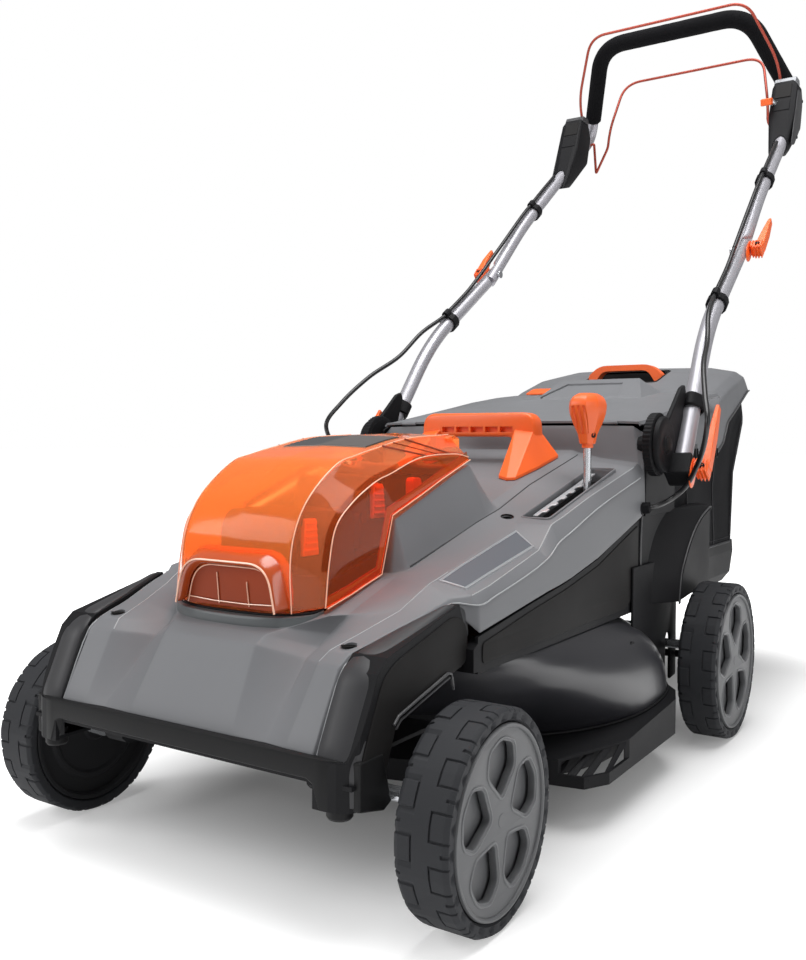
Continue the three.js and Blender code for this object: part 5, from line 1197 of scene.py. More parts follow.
def make_fender(side, name):
    """Rounded shoulder between the cover's edge and the side face, and the lips of the wheel arch, which
    carry a painted highlight.
    """
    path = bent([(0, -390, 112), (0, -390.5, 146, 12), (0, -362, 207, 11), (0, -340, 220.5, 9),
                 (0, -240, 246, 10), (0, -219, 238, 8), (0, -216.5, 216)], 5)
    path = dense(path, 7.0)
    rows = []
    for point, out in zip(path, outwards(path)):
        x0 = read_off(COVER_EDGE, point.y) + 1.6
        row = []
        for share, lift in FENDER_SECTION:
            at = point + out * lift
            row.append((side * (x0 + (FENDER_X - x0) * share), at.y, at.z))
        rows.append(row)
    grid_piece(f"fender_skin_{name}", curved(np.array(rows, dtype=float), 2), FENDER, "chassis", sharp=50)
    face = rounded_ring([(-385, 112), (-380, 147), (-353, 203), (-335, 213.5), (-241, 237.5), (-220.5, 226),
                         (-219.5, 194), (-252, 187), (-333, 169), (-351, 126), (-352, 112)], 11)
    plate(f"fender_face_{name}", face, (), 1.8, 0.7, side_view(186.2), BLACK_SOFT, "chassis", mirror=side < 0)
    for i, (step, sunk, radius) in enumerate(((0, 0, 1.3), (4.6, 1.2, 1.0))):
        lip = [(x - sunk, y + step, z - step) for x, y, z in ARCH_LIP]
        rod(f"arch_lip_{name}_{i}", dense(lip, 4.0), radius, 8, BLACK_PAINTED_HIGHLIGHT, "chassis", mirror=side < 0)


def foot_z(x):
    """Lower edge of the bumper band, which is deeper at its corners."""
    return 131.0 if abs(x) < 149 else 108.6 if abs(x) > 156 else 131 - (abs(x) - 149) * 3.2


def make_bumper():
    """Band round the front with a rounded top edge, and a foot and an end block at each corner."""
    half = [(0, -395.2, 0), (110, -395.2, 0), (150, -395.0, 0), (158, -394.6, 0), (170, -391.5, 0),
            (180, -384, 0), (185.6, -372, 0), (186.6, -352, 0)]
    plan = smooth_path(mirrored_rows([half])[0], 5)
    section = ((lambda x: 146.4, 12.0), (lambda x: 147.6, 2.2), (lambda x: 146.8, 0.0),
               (lambda x: 144.5, -0.8), (foot_z, -0.8), (lambda x: foot_z(x) - 1.2, 1.0),
               (lambda x: foot_z(x) - 1.2, 5.0))
    rows = [[(p.x * (1 - inset / 190), p.y + inset, height(p.x)) for p in plan] for height, inset in section]
    grid_piece("bumper_band", rows, BUMPER, "chassis", sharp=28)
    corner = slab(180, 188, ((-386, 109), (-386, 147), (-354, 147), (-354, 126), (-341, 106), (-352, 101)))
    for side, name in SIDES:
        spun(f"bumper_foot_{name}", [(0.01, -1), (9, -0.5), (10.5, 1.5), (10.5, 16)],
             (side * 166, -381, 100.5), (0, 0, 1), BUMPER, "chassis", steps=32)
        rounded_box(f"bumper_end_{name}", corner, BUMPER, "chassis", bevel=2.2, mirror=side < 0)


for side, name in SIDES:
    make_fender(side, name)
make_bumper()


# ------------------------------------------------------------------ cutting deck
# height, front, half width, widest place, rear, squareness in front and behind
DOME = [
    (66, -69, 232.5, 135, 289.5, 2, 3), (86, -82, 235, 135, 290, 2, 3), (112, -122, 234, 130, 289, 2.2, 3),
    (136, -165, 228, 122, 285, 2.5, 2.8), (156, -192, 216, 110, 278, 3, 2.5),
    (172, -206, 201, 90, 262, 4, 2.3), (184.5, -213, 186, 60, 240, 6, 2.2),
    (186.4, -205, 172, 60, 226, 6, 2.2),
]
DOME_LIFT = 1.7  # of the painted skin off the CAD's dome
FLANGE_SLOPE = 0.058
FLANGE_Z = 76.6  # height of the flange's upper face at y = 0


def dome_ring(level, grow):
    """Outline of the dome at one level: round at the sides and squarer in front and behind."""
    z, front, half, widest, rear, sharp_front, sharp_rear = level
    ring = []
    for c, s in round_steps(56):
        power = 2 / (sharp_rear if s > 0 else sharp_front)
        reach = rear - widest if s > 0 else widest - front
        x = math.copysign(abs(c) ** power, c) * (half + grow)
        y = widest + math.copysign(abs(s) ** power, s) * (reach + grow)
        ring.append((x, y, z))
    return ring


def make_dome():
    """Painted skin over the blade chamber, down to the flange, and the dark line along its foot."""
    levels = curved(np.array(DOME, dtype=float), 4)[1:]
    rings = np.array([dome_ring(level, DOME_LIFT) for level in levels])
    rings[..., 2] = np.maximum(rings[..., 2], FLANGE_Z + FLANGE_SLOPE * rings[..., 1])
    rows, around = rings.shape[:2]
    faces = grid_faces(rows, around, wrap=True) + end_caps(rows, around)[1:]
    build("dome_skin", rings.reshape(-1, 3), faces, DOME_BLACK, "chassis", sharp=60)
    seat = [(x * 1.004, y + (1.2 if y > 100 else -1.2)) for x, y, _ in rings[3]]
    seat = [(x, y, FLANGE_Z + 1.0 + FLANGE_SLOPE * y) for x, y in seat]
    points, faces = tube(seat + seat[:1], 1.6, 8, closed_ends=False)
    build("dome_foot_line", points, faces, BLACK, "chassis")


make_dome()


def make_mudguard(side, name):
    """Flared skin over the guard in front of a rear wheel, with folds and a painted highlight along its edge.
    """
    root = [(186, 211), (214, 219), (240, 226), (275, 254), (297, 297), (300, 330), (302, 428)]
    rim = [(182, 290), (200, 293), (224, 302), (262, 340), (285, 380), (297, 420), (298, 428)]
    inner_x, outer_x = 191.6, 217.2
    rows = []
    for share in (0.0, 0.12, 0.3, 0.5, 0.7, 0.88, 1.0):
        x = inner_x + (outer_x - inner_x) * share
        bow = 2.2 * math.sin(math.pi * share)
        rows.append([(side * x, y0 + (y1 - y0) * share - bow, z0 + (z1 - z0) * share + bow)
                     for (z0, y0), (z1, y1) in zip(root, rim)])
    grid = curved(np.array(rows, dtype=float).transpose(1, 0, 2), 5).transpose(1, 0, 2)
    edge = grid[-1].copy()
    lip = edge + np.array([side * 1.6, 1.5, -2.0])
    inner = edge + np.array([-side * 2.0, 3.0, -5.0])
    grid_piece(f"guard_skin_{name}", np.concatenate([grid, [lip, inner]]), BLACK, "chassis", sharp=50)
    rod(f"guard_edge_{name}", dense(edge, 4.0), 1.1, 8, BLACK_PAINTED_HIGHLIGHT, "chassis")


for side, name in SIDES:
    make_mudguard(side, name)


def make_wall_trim(side, name):
    """Raised panel of the flank under the grey cover, and a painted highlight along the flank's upright edge
    behind it.
    """
    upright = bent([(195.6, 203, 190), (195.9, 201, 262, 20), (195.9, 205, 296)], 6)
    rod(f"flank_edge_{name}", dense(upright, 5.0), 1.4, 8, BLACK_PAINTED_HIGHLIGHT, "chassis", mirror=side < 0)
    panel = rounded_ring([(-206, 190), (-206, 208), (-100, 224), (-22, 234), (68, 250), (133, 269),
                          (194, 286), (194, 205), (150, 190)], 5)
    plate(f"flank_panel_{name}", panel, (), 1.2, 0.5, side_view(194.9), BLACK_SOFT, "chassis",
          mirror=side < 0)


for side, name in SIDES:
    make_wall_trim(side, name)


# ------------------------------------------------------------------ grass catcher
# Half rows of the lid front to rear: middle, edge of the top, shoulder, side, lower edge.
LID_ROWS = [
    [(0, 342, 422), (120, 342, 422), (170, 342, 420), (184, 342, 412), (187, 342, 372)],
    [(0, 571, 459), (120, 571, 457), (166, 571, 446), (180, 569, 433), (187, 566, 372)],
    [(0, 600, 474), (120, 600, 473), (170, 600, 466), (184, 600, 455), (187, 600, 388)],
    [(0, 625, 483), (120, 625, 482), (170, 625, 475), (184, 625, 466), (187, 625, 420)],
    [(0, 702, 508), (120, 702, 506), (168, 702, 498), (182, 702, 486), (186, 702, 452)],
    [(0, 765, 520), (120, 765, 517), (162, 765, 509), (176, 765, 499), (182, 765, 474)],
    [(0, 800, 515), (115, 800, 512), (155, 800, 505), (170, 799, 494), (176, 798, 477)],
    [(0, 822, 500), (105, 820, 498), (140, 817, 494), (155, 814, 487), (160, 811, 478)],
    [(0, 826, 483), (103, 824, 481), (136, 820, 480), (150, 816, 479), (153, 813, 478)],
]
LID_EDGE = [row[-1] for row in LID_ROWS]


def pocket_ring(grow):
    return grown_ring(-65, 65, 640, 720, 10, grow)


def pocket_floor(y):
    return 470 + (y - 640) * 0.2


def lid_top(y):
    return read_off([row[0] for row in LID_ROWS], y, 1, 2)


def make_lid():
    """Moulded lid of the catcher, with the pocket that its handle lies in."""
    grid = supported(mirrored_rows(LID_ROWS).transpose(1, 0, 2), 4.0).transpose(1, 0, 2)
    grid = supported(grid, 7.0)
    lid = grid_piece("lid_skin", grid, GREY, "catcher", ("catcher_lid",), sharp=180)
    smooth_sheet(lid, 2.8, 1, offset=wall_offset(lid))
    carve(lid, [prism(pocket_ring(0), lambda x, y: 455, lambda x, y: 560)])
    ring_wall("lid_pocket", pocket_ring(2.2), pocket_ring(0), pocket_floor, lambda y: lid_top(y) + 0.7,
              BLACK_SOFT, "catcher")
    points, faces = prism(pocket_ring(2.0), lambda x, y: pocket_floor(y) - 2.2,
                          lambda x, y: pocket_floor(y) + 0.2)
    build("lid_pocket_floor", points, faces, BLACK_SOFT, "catcher")
    for i, y in enumerate((648, 700)):
        z = pocket_floor(y)
        rounded_box(f"lid_pocket_step_{i}", box8(-58, 58, y, y + 12, z - 1, z + 5), GREY, "catcher",
                    bevel=1.5)


def make_clips(side, name):
    """Row of bag clips along a side edge of the lid, each with a loop of webbing, and a painted highlight
    along the lid's hem.
    """
    for i, y in enumerate((392, 446, 500, 548)):
        x, z = (read_off(LID_EDGE, y, 1, axis) for axis in (0, 2))
        clip = slab(x - 1.5, x + 3.2, ((y - 11, z - 3), (y + 11, z - 3), (y + 8, z + 13), (y - 8, z + 13)))
        rounded_box(f"bag_clip_{name}_{i}", clip, FENDER, "catcher", bevel=1.3, mirror=side < 0)
        loop = bent([(x + 3.4, y - 6, z + 7), (x + 4.6, y - 6, z - 6, 4), (x + 4.6, y + 6, z - 6, 4),
                     (x + 3.4, y + 6, z + 7)], 4)
        rod(f"bag_loop_{name}_{i}", loop, 1.3, 8, BLACK, "catcher", mirror=side < 0)
    hem = [(read_off(LID_EDGE, y, 1, 0) + 0.8, y, read_off(LID_EDGE, y, 1, 2) + 0.5)
           for y in range(346, 800, 6)]
    rod(f"lid_hem_{name}", hem, 1.5, 8, BLACK_PAINTED_HIGHLIGHT, "catcher", mirror=side < 0)


make_lid()
for side, name in SIDES:
    make_clips(side, name)

# Side outline of the fabric as (y, z): under and behind, then the lid's edge that it is sewn to.
BAG_UNDER = [(348, 229.5), (652, 229.5), (664, 340), (727, 432), (790, 455), (809, 474)]
BAG_TOP = [(348, 371.5), (565, 371.5), (600, 387.5), (625, 419.5), (702, 451.5), (765, 473), (798, 476),
           (809, 476.5)]
BAG_FRONT, BAG_REAR, BAG_FLOOR = 348, 809, 229.5
BAG_HALVES = ((348, 185.5), (720, 184), (812, 157.5))  # y and half the width there


def bag_half(y):
    return read_off(BAG_HALVES, y)


def bag_share(y):
    """How far back a place is, as a share of the bag's length."""
    return (y - BAG_FRONT) / (BAG_REAR - BAG_FRONT)


def sag(u, v, seed):
    """Slack of sewn fabric between its seams: one soft hollow and a few slanting folds, in mm."""
    edge = math.sin(math.pi * min(max(u, 0), 1)) * math.sin(math.pi * min(max(v, 0), 1))
    folds = noise.noise(Vector((u * 5.2 + v * 3.1 + seed, v * 1.3, seed))) * 2.6
    creases = math.sin(11 * u + 7 * v + seed) * 0.5 + math.sin(19 * u - 9 * v + 2 * seed) * 0.35
    return (folds + creases) * edge ** 0.6 - 3.0 * edge


def bag_side(side, count=64, high_count=32):
    rows = []
    for k in range(count + 1):
        y = BAG_FRONT + (BAG_REAR - BAG_FRONT) * k / count
        low, high = read_off(BAG_UNDER[1:], y), read_off(BAG_TOP, y)
        column = []
        for j in range(high_count + 1):
            v = j / high_count
            slack = sag(k / count, v, 1.7 * side) * min(1.0, (high - low) / 60)
            column.append((side * (bag_half(y) + slack), y, low + (max(high, low + 1) - low) * v))
        rows.append(column)
    return np.array(rows)


def bag_back(count=48):
    path = dense([(0, y, z) for y, z in BAG_UNDER[1:]], 8.0)
    rows = []
    for i, (_, y, z) in enumerate(path):
        row = []
        for j in range(count + 1):
            slack = sag(j / count, i / (len(path) - 1), 4.2)
            row.append((bag_half(y) * (2 * j / count - 1), y + 0.8 * slack, z - 0.6 * slack))
        rows.append(row)
    return np.array(rows)


def bag_floor(rows=30, columns=24):
    half, length = BAG_HALVES[0][1], BAG_UNDER[1][0] - BAG_FRONT
    return np.array([[(half * (2 * j / columns - 1), BAG_FRONT + length * i / rows,
                       BAG_FLOOR + 0.5 * sag(i / rows, j / columns, 8.0)) for j in range(columns + 1)]
                     for i in range(rows + 1)])


def make_bag():
    """Four panels of coated fabric, welded where they are sewn, with piped seams and a row of stitches."""
    points, faces = [], []
    for grid in (bag_side(1), bag_side(-1), bag_back(), bag_floor()):
        rows, columns = grid.shape[:2]
        faces += grid_faces(rows, columns, start=len(points))
        points += [tuple(p) for p in grid.reshape(-1, 3)]
    bag = build("sewn_bag", points, faces, FABRIC, "catcher", ("catcher_bag",), sharp=55)
    smooth_sheet(bag, 1.2, 0)
    baked(bag)
    trim = []
    for side, name in SIDES:
        def side_x(y, v, lift):
            """x of a place `lift` mm outside the side panel, at share v of the panel's height."""
            return side * (bag_half(y) + sag(bag_share(y), v, 1.7 * side) + lift)

        edge = dense([(0, y, z) for y, z in BAG_UNDER], 7.0)
        under = [(side * (bag_half(y) + 0.6), y, z - 0.4) for _, y, z in edge]
        trim.append(rod(f"piping_{name}", under, 1.9, 10, FABRIC_EDGE, "catcher"))
        for i, y in enumerate((420, 560)):
            seam = [(side_x(y, j / 24, 0.7), y + 3 * math.sin(j / 4), 231 + 139 * j / 24) for j in range(25)]
            trim.append(rod(f"seam_{name}_{i}", seam, 1.0, 8, FABRIC_EDGE, "catcher"))
        row = [(side_x(y, 0.05, 1.3), y, 237) for y in range(352, 652, 5)]
        trim.append(stitch_row(f"stitches_{name}", row))
    return bag, trim


def stitch_row(name, spots):
    """Short raised thread lengths along a line."""
    points, faces = [], []
    for a, b in zip(spots[:-1], spots[1:]):
        a, b = Vector(a), Vector(b)
        stitch = [a + (b - a) * 0.1, a + (b - a) * 0.3 + Vector((0, 0, 0.2)), a + (b - a) * 0.62]
        more, ring = tube(stitch, 0.45, 6)
        faces += [[len(points) + k for k in face] for face in ring]
        points += more
    return build(name, points, faces, FABRIC_EDGE, "catcher")


BAG_PIECE, BAG_TRIM = make_bag()
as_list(BAG_TRIM)


# ------------------------------------------------------------------ carry handle and lever knob
LEVER_X, LEVER_Y = 160, 117
# height, half width and half depth of the knob's sections
KNOB_LEVELS = [(385.2, 6.5, 8.5), (386.5, 8.2, 10.5), (397, 10, 13), (408, 14, 20), (421, 17.5, 27),
               (432, 18, 28.5), (440, 15, 24), (444.6, 9, 15)]


def pad_z(y):
    """Height of the cowl under the carry handle's feet; it is steeper in front of the fold at y = 65."""
    return 342 + (22 / 73 if y < 65 else 32 / 135) * (y - 65)


def make_carry_handle():
    """Loop across the cowl with five pockets in the front of its grip, on two splayed feet."""
    outline = rounded_ring([(-79, 372), (-76, 420), (76, 420), (79, 372), (54, 366), (54, 398), (-54, 398),
                            (-54, 366)], 13)
    upright = basis((0, 153, 0), (1, 0, 0), (0, 0, 1), (0, -1, 0))
    loop = plate("carry_loop", outline, (), 25, 4.2, upright, ORANGE, "chassis", ("carry_handle",))
    carve(loop, [(box8(x - 9, x + 9, 130, 147, 399.5, 406.5), BOX_FACES) for x in range(-42, 43, 21)])
    sole = [(67, 72), (82, 63), (92, 66), (98, 120), (99, 172), (86, 178), (62, 172), (57, 140)]
    foot = [(x, y, pad_z(y) + 0.5) for x, y in sole] + [(x, y, pad_z(y) + 4) for x, y in sole]
    foot += [(54, 140.8, 403), (54, 165.2, 403), (78.6, 140.8, 400), (78.6, 165.2, 400), (70, 112, 366),
             (86, 112, 366)]
    for side, name in SIDES:
        rounded_box(f"carry_foot_{name}", foot, ORANGE, "chassis", bevel=3.2, mirror=side < 0, segments=4)
        spun(f"carry_screw_{name}", [(0.01, 1.2), (2.6, 1.0), (3.4, 0.2), (3.4, -1)],
             (side * 78, 90, pad_z(90) + 7), (0, -0.3, 1), BLACK, "chassis", steps=20)


def knob_section(z, w, d):
    """Eight-sided section of the knob at a height."""
    corners = ((w, -d * 0.45), (w, d * 0.45), (w * 0.5, d), (-w * 0.5, d), (-w, d * 0.45), (-w, -d * 0.45),
               (-w * 0.5, -d), (w * 0.5, -d))
    return [(LEVER_X + x, LEVER_Y + y, z) for x, y in corners]


def make_knob():
    """Faceted knob, wide at its head, with three curved finger grooves and the screw that holds it."""
    rings = curved(np.array([knob_section(*level) for level in KNOB_LEVELS], dtype=float), 3)
    rows, around = rings.shape[:2]
    faces = grid_faces(rows, around, wrap=True) + end_caps(rows, around)
    knob = build("knob_grip", rings.reshape(-1, 3), faces, ORANGE, "height_lever", ("height_lever_knob",),
                 sharp=180)
    baked(bevelled(knob, 2.2, 3, 20))
    grooves = []
    for start in (-7, -0.5, 6):
        for way in (-1, 1):
            heights = [397 + 3.6 * t for t in range(10)]
            path = [(LEVER_X + start + 2.0 * math.sin(t / 3),
                     LEVER_Y + way * (0.3 + read_off(KNOB_LEVELS, z, 0, 2)), z)
                    for t, z in enumerate(heights)]
            grooves.append(tube(path, 1.9, 10))
    carve(knob, grooves)
    spun("knob_screw", [(0.01, 0.2), (1.4, 0.0), (2.6, 0.9), (3.4, 0.5), (3.6, -1.6)],
         (LEVER_X + 9.6, LEVER_Y - 5, 396), (1, -0.25, 0), BLACK, "height_lever", steps=20)
    spun("lever_collar", [(4.6, 0), (6.2, 0.4), (6.6, 2.0), (6.6, 7)], (LEVER_X, LEVER_Y, 380.5), (0, 0, 1),
         ORANGE, "height_lever", steps=28)


make_carry_handle()
make_knob()


# ------------------------------------------------------------------ brackets, cams and handle boxes
PIVOT_Y, PIVOT_Z = 224, 385  # axis of the handle's fold


def tube_basis(origin, target):
    """Drawing axes at the start of a tube: x across the mower, y square to the tube, z along it."""
    z = (Vector(target) - Vector(origin)).normalized()
    y = z.cross(Vector((1, 0, 0))).normalized()
    x = y.cross(z)
    return basis(origin, x, y, z)


def placed_box(name, place, corners, look, body, nodes=(), bevel=1.5, side=1):
    """A rounded box whose corners are given in the axes of a place on a tube."""
    return rounded_box(name, [tuple(place @ Vector(c)) for c in corners], look, body, nodes, bevel,
                       mirror=side < 0)


def make_knurl(side, name):
    """Drum of the fold joint, which stays on the body, with fine ridges round its rim."""
    radius, ridge, teeth = 38.2, 1.1, 44
    points = []
    for x, drop in ((200.6, -9), (200.6, -2.5), (201.8, 0), (211.0, 0), (212.2, -2.5), (212.2, -9)):
        for k, (c, s) in enumerate(round_steps(4 * teeth)):
            lift = ridge * (0.5 + 0.5 * math.cos(math.pi * k / 2)) if drop == 0 else 0
            r = radius + drop + lift
            points.append((x, PIVOT_Y + r * c, PIVOT_Z + r * s))
    build(f"pivot_knurl_{name}", points, grid_faces(6, 4 * teeth, wrap=True), BLACK, "chassis", sharp=50,
          mirror=side < 0)


def make_bracket(side, name):
    """Folding bracket at the foot of a leg: disc, cap, arm, cup and collar round the tube, and a bolt."""
    body, flip_it = "lower_handle", side < 0
    disc = [(0.01, 9.4), (9, 9.2), (11.5, 8.2), (12.2, 6.8), (20, 6.6), (24, 7.4), (30, 7.2), (33.4, 5.6),
            (34.6, 3.0), (34.6, 0.0), (31, -0.4), (0.01, -0.4)]
    spun(f"pivot_disc_{name}", disc, (side * 213.2, PIVOT_Y, PIVOT_Z), (side, 0, 0), BLACK, body,
         (f"handle_bracket_{name}",), steps=72)
    spun(f"pivot_cap_{name}", [(0.01, 3.4), (6, 3.0), (8.6, 1.8), (9.6, 0), (9.6, -3)],
         (side * 221.6, PIVOT_Y, PIVOT_Z), (side, 0, 0), BLACK_SOFT, body, steps=36)
    make_knurl(side, name)
    arm = slab(213.4, 219.8, ((202, 372), (214, 357), (246, 340), (262, 352), (300, 452), (296, 462),
                              (283, 458), (233, 416), (206, 396)))
    rounded_box(f"bracket_arm_{name}", arm, BLACK, body, bevel=2.4, mirror=flip_it)
    foot = tube_basis(BASE, BEND)
    cup = box8(-16.5, 15, -15, 15, -14, 16) + [(-13, -12, 19), (12, -12, 19), (-13, 12, 19), (12, 12, 19)]
    placed_box(f"bracket_cup_{name}", foot, cup, BLACK, body, bevel=3.0, side=side)
    collar = []
    for reach, radius in ((94, 12.6), (94, 14.6), (95.2, 15.8), (112.8, 15.8), (114, 14.6), (114, 12.6)):
        for k, (c, s) in enumerate(round_steps(48)):
            r = radius * (1 + 0.07 * math.cos(math.pi * k / 6))
            collar.append(foot @ Vector((r * c, r * s, reach)))
    build(f"bracket_collar_{name}", collar, grid_faces(6, 48, wrap=True), BLACK, body, sharp=40,
          mirror=flip_it)
    at = foot @ Vector((16.4, 0, 104))
    spun(f"bracket_bolt_{name}", [(0.01, 2.2), (2.0, 2.0), (2.2, 1.2), (3.6, 1.4), (4.2, 0.6), (4.2, -2)],
         (side * at.x, at.y, at.z), (side, 0, 0), STEEL, body, steps=24)


def make_cam(node_name, body, holder, origin, target, side, x0, length):
    """Quick-release cam: an oval jaw that stays on the tube, and a ribbed barrel with a blade that turns."""
    place = tube_basis(origin, target)
    jaw = []
    for share, lift in ((0.94, -0.2), (1.0, 0.3), (1.0, 1.2), (0.95, 1.6)):
        jaw += [place @ Vector((x0 - 1.5 + lift, 12.5 * share * c, 21 * share * s - 4))
                for c, s in round_steps(40)]
    faces = grid_faces(4, 40, wrap=True) + end_caps(4, 40)
    build(f"{node_name}_jaw", jaw, faces, ORANGE, holder, sharp=40, mirror=side < 0)
    barrel = slab(x0 + 1, x0 + 19.5, ((10, 6), (6, 12), (-6, 12), (-10, 6)))
    barrel += [(x, y, z) for y in (-9, 9) for x, z in ((x0 + 19.5, -8.6), (x0 + 4, -7.2), (x0 + 1.2, -3))]
    placed_box(f"{node_name}_barrel", place, barrel, ORANGE, body, (node_name,), bevel=1.8, side=side)
    for k, low in enumerate((-6.6, -9.2, -9.8, -9.4)):
        x = x0 + 3.4 + 4.3 * k
        rib = slab(x, x + 1.8, ((-11, low), (11, low), (12, 6), (7, 13.6), (-7, 13.6), (-12, 6)))
        placed_box(f"{node_name}_rib_{k}", place, rib, ORANGE, body, bevel=0.6, side=side)
    blade_sections = ((8, 20.5, 8, 2), (13, 20.8, 8.5, length * 0.55), (15.5, 20, 5.5, length))
    blade = [(x0 + x, y, z) for near, far, half, z in blade_sections for y in (-half, half)
             for x in (near, far)]
    placed_box(f"{node_name}_blade", place, blade, ORANGE, body, bevel=2.0, side=side)
    way = place.to_3x3() @ Vector((0, 1, 0))
    for end, letter in ((1, "a"), (-1, "b")):
        spot = place @ Vector((x0 + 12, 10.6 * end, 0))
        spun(f"{node_name}_screw_{letter}",
             [(0.01, 1.0), (1.2, 0.8), (1.6, 1.6), (3.0, 1.3), (3.4, 0.2), (3.4, -2)],
             (side * spot.x, spot.y, spot.z), (side * way.x * end, way.y * end, way.z * end), BLACK, body,
             steps=20)


for side, name in SIDES:
    make_bracket(side, name)
    make_cam(f"base_cam_{name}", f"cam_base_{name}", "lower_handle", BASE, BEND, side, 15.5, 98)
    make_cam(f"joint_cam_{name}", f"cam_joint_{name}", "handle_loop", JOINT, UPPER_BEND, side, 13.5, 74)

# Side outline of a handle box as (y, z), and the point that its smaller outlines shrink towards.
BOX_SIDE = [(846, 884), (876, 892), (944, 950), (962, 1012), (950, 1036), (914, 1036), (884, 968)]
BOX_MIDDLE = (908, 966)


def box_outline(share):
    mid_y, mid_z = BOX_MIDDLE
    return [(mid_y + (y - mid_y) * share, mid_z + (z - mid_z) * share) for y, z in BOX_SIDE]


def shell_box(name, side, node_name, top):
    """Housing on one leg: a core bored for the tube, a screwed plate on its outer face, a cap and panels."""
    body, flip_it = "handle_loop", side < 0
    core = []
    for x, shrink in ((181, 0.84), (186, 1.0), (217, 1.0), (225, 0.86)):
        for (y, z), (_, low) in zip(box_outline(shrink), BOX_SIDE):
            narrowed = 0.32 * min(1.0, max(0.0, (940 - low) / 50))
            core.append((x + (205 - x) * narrowed, y, z))
    made = rounded_box(f"{name}_core", core, BLACK, body, (node_name,), bevel=2.2, mirror=flip_it)
    place = tube_basis(UPPER_BEND, UPPER_LOW)
    bore = [place @ Vector((12.2 * c, 12.2 * s, reach)) for reach in (50, 340) for c, s in round_steps(32)]
    carve(made, [([(side * p.x, p.y, p.z) for p in bore], grid_faces(2, 32, wrap=True) + end_caps(2, 32))])
    plate(f"{name}_cheek", rounded_ring(box_outline(0.72), 6), (), 1.8, 0.7, side_view(225.2), BOX_GREY, body,
          mirror=flip_it)
    for i, (y, z) in enumerate(((904, 930), (944, 1004))):
        spun(f"{name}_screw_{i}", [(0.01, 0.3), (1.2, 0.1), (2.0, 1.0), (2.8, 0.7), (3.1, -1)],
             (side * 226.4, y, z), (side, 0, 0), DARK, body, steps=18)
    cap = slab(183, 221, ((916, 1033), (950, 1033), (946, 1044), (922, 1044)))
    rounded_box(f"{name}_cap", cap, top, body, bevel=2.0, mirror=flip_it)
    a, b = Vector((0, *BOX_SIDE[-1])), Vector((0, *BOX_SIDE[-2]))
    normal = Vector((0, -(b - a).z, (b - a).y)).normalized()
    for i, (low, high, look) in enumerate(((0.12, 0.42, BLACK), (0.5, 0.9, BLACK_SOFT))):
        ends = a.lerp(b, low), a.lerp(b, high)
        panel = slab(188, 216, [(r.y + normal.y * d, r.z + normal.z * d) for r in ends for d in (-2, 1.4)])
        rounded_box(f"{name}_panel_{i}", panel, look, body, bevel=0.9, mirror=flip_it)


def make_button():
    """Square start button on its metal stem, standing out of the housing's inner front edge."""
    block = slab(171, 189, ((871, 984), (887, 989), (884, 1001), (868, 996)))
    rounded_box("button_block", block, ORANGE, "button", ("start_button",), bevel=2.0)
    spun("button_stem", [(0.01, 0), (4.2, 0), (4.6, 1), (4.6, 22), (0.01, 22)], (186, 886, 995.5),
         (0.35, 0.9, -0.3), STEEL, "button", steps=24)
    spun("button_collar", [(6.0, 0), (7.6, 0.6), (8.0, 2), (8.0, 8), (4.8, 8), (4.8, 0)], (190, 896, 992),
         (0.3, 0.9, -0.3), STEEL, "handle_loop", steps=28)


shell_box("switch_housing", 1, "switch_box", ZINC)
shell_box("drive_housing", -1, "drive_box", BOX_GREY)
make_button()


def make_gate():
    """Silver comb beside the lever: the notches that hold each mowing height."""
    back_x, root_x, tip_x = 144.8, 150.5, 154.6
    outline = [(back_x, 2), (root_x, 2)]
    for y in range(20, 141, 24):
        outline += [(root_x, y - 5), (tip_x, y - 2.5), (tip_x, y + 4.5), (root_x, y + 7)]
    outline += [(root_x, 166), (back_x, 166)]
    points, faces = prism(outline, lambda x, y: shoulder_z(y) - 6.4, lambda x, y: shoulder_z(y) - 4.6)
    bevelled(build("gate_comb", points, faces, GATE, "chassis", sharp=30), 0.4)


make_gate()


def make_rear_skirt(side, name):
    """Black inner wall between the blade dome and a rear wheel, slotted over the axle rod."""
    outline = [(170, 236), (336, 236), (336, 78), (312, 76), (312, 134), (306, 140), (298, 140), (292, 134),
               (292, 76), (170, 86)]
    plate(f"rear_skirt_{name}", rounded_ring(outline, 3), (), 3.0, 0.8, side_view(197.5), BLACK, "chassis",
          mirror=side < 0)


for side, name in SIDES:
    make_rear_skirt(side, name)


def make_latch(name):
    """Ribbed release button on the side of a battery pack, and the pack with a seat cut for it."""
    low, high = (Vector(p) * 1000 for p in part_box(f"battery_latch_{name}"))
    y0, y1, z0, z1 = low.y + DATUM_Y, high.y + DATUM_Y, low.z, high.z
    outer = high.x
    pack = frame["nodes"][f"battery_{name}"]
    shell = finish_piece(f"battery_pack_{name}", pack.data.copy(), BLACK, "chassis", (f"battery_{name}",))
    seat = slab(low.x - 3.6, outer + 2,
                ((y0 - 1, z0 - 10), (y1 + 1, z0 - 10), (y1 - 3, z1 + 8), (y0 + 3, z1 + 8)))
    carve(shell, [(seat, grid_faces(2, 4, wrap=True) + end_caps(2, 4))])
    block = slab(low.x, outer - 0.8, ((y0, z0 - 9), (y1, z0 - 9), (y1 - 4, z1 + 7), (y0 + 4, z1 + 7)))
    rounded_box(f"latch_button_{name}", block, LATCH, f"latch_{name}", (f"battery_latch_{name}",), bevel=1.4)
    for k in range(5):
        z, inset = z0 - 5 + 6.2 * k, 2.4 + 0.55 * k
        rib = box8(outer - 1.4, outer + 0.6, y0 + inset, y1 - inset, z, z + 2.6)
        rounded_box(f"latch_rib_{name}_{k}", rib, LATCH, f"latch_{name}", bevel=0.8, segments=2)


for name in ("front", "rear"):
    make_latch(name)


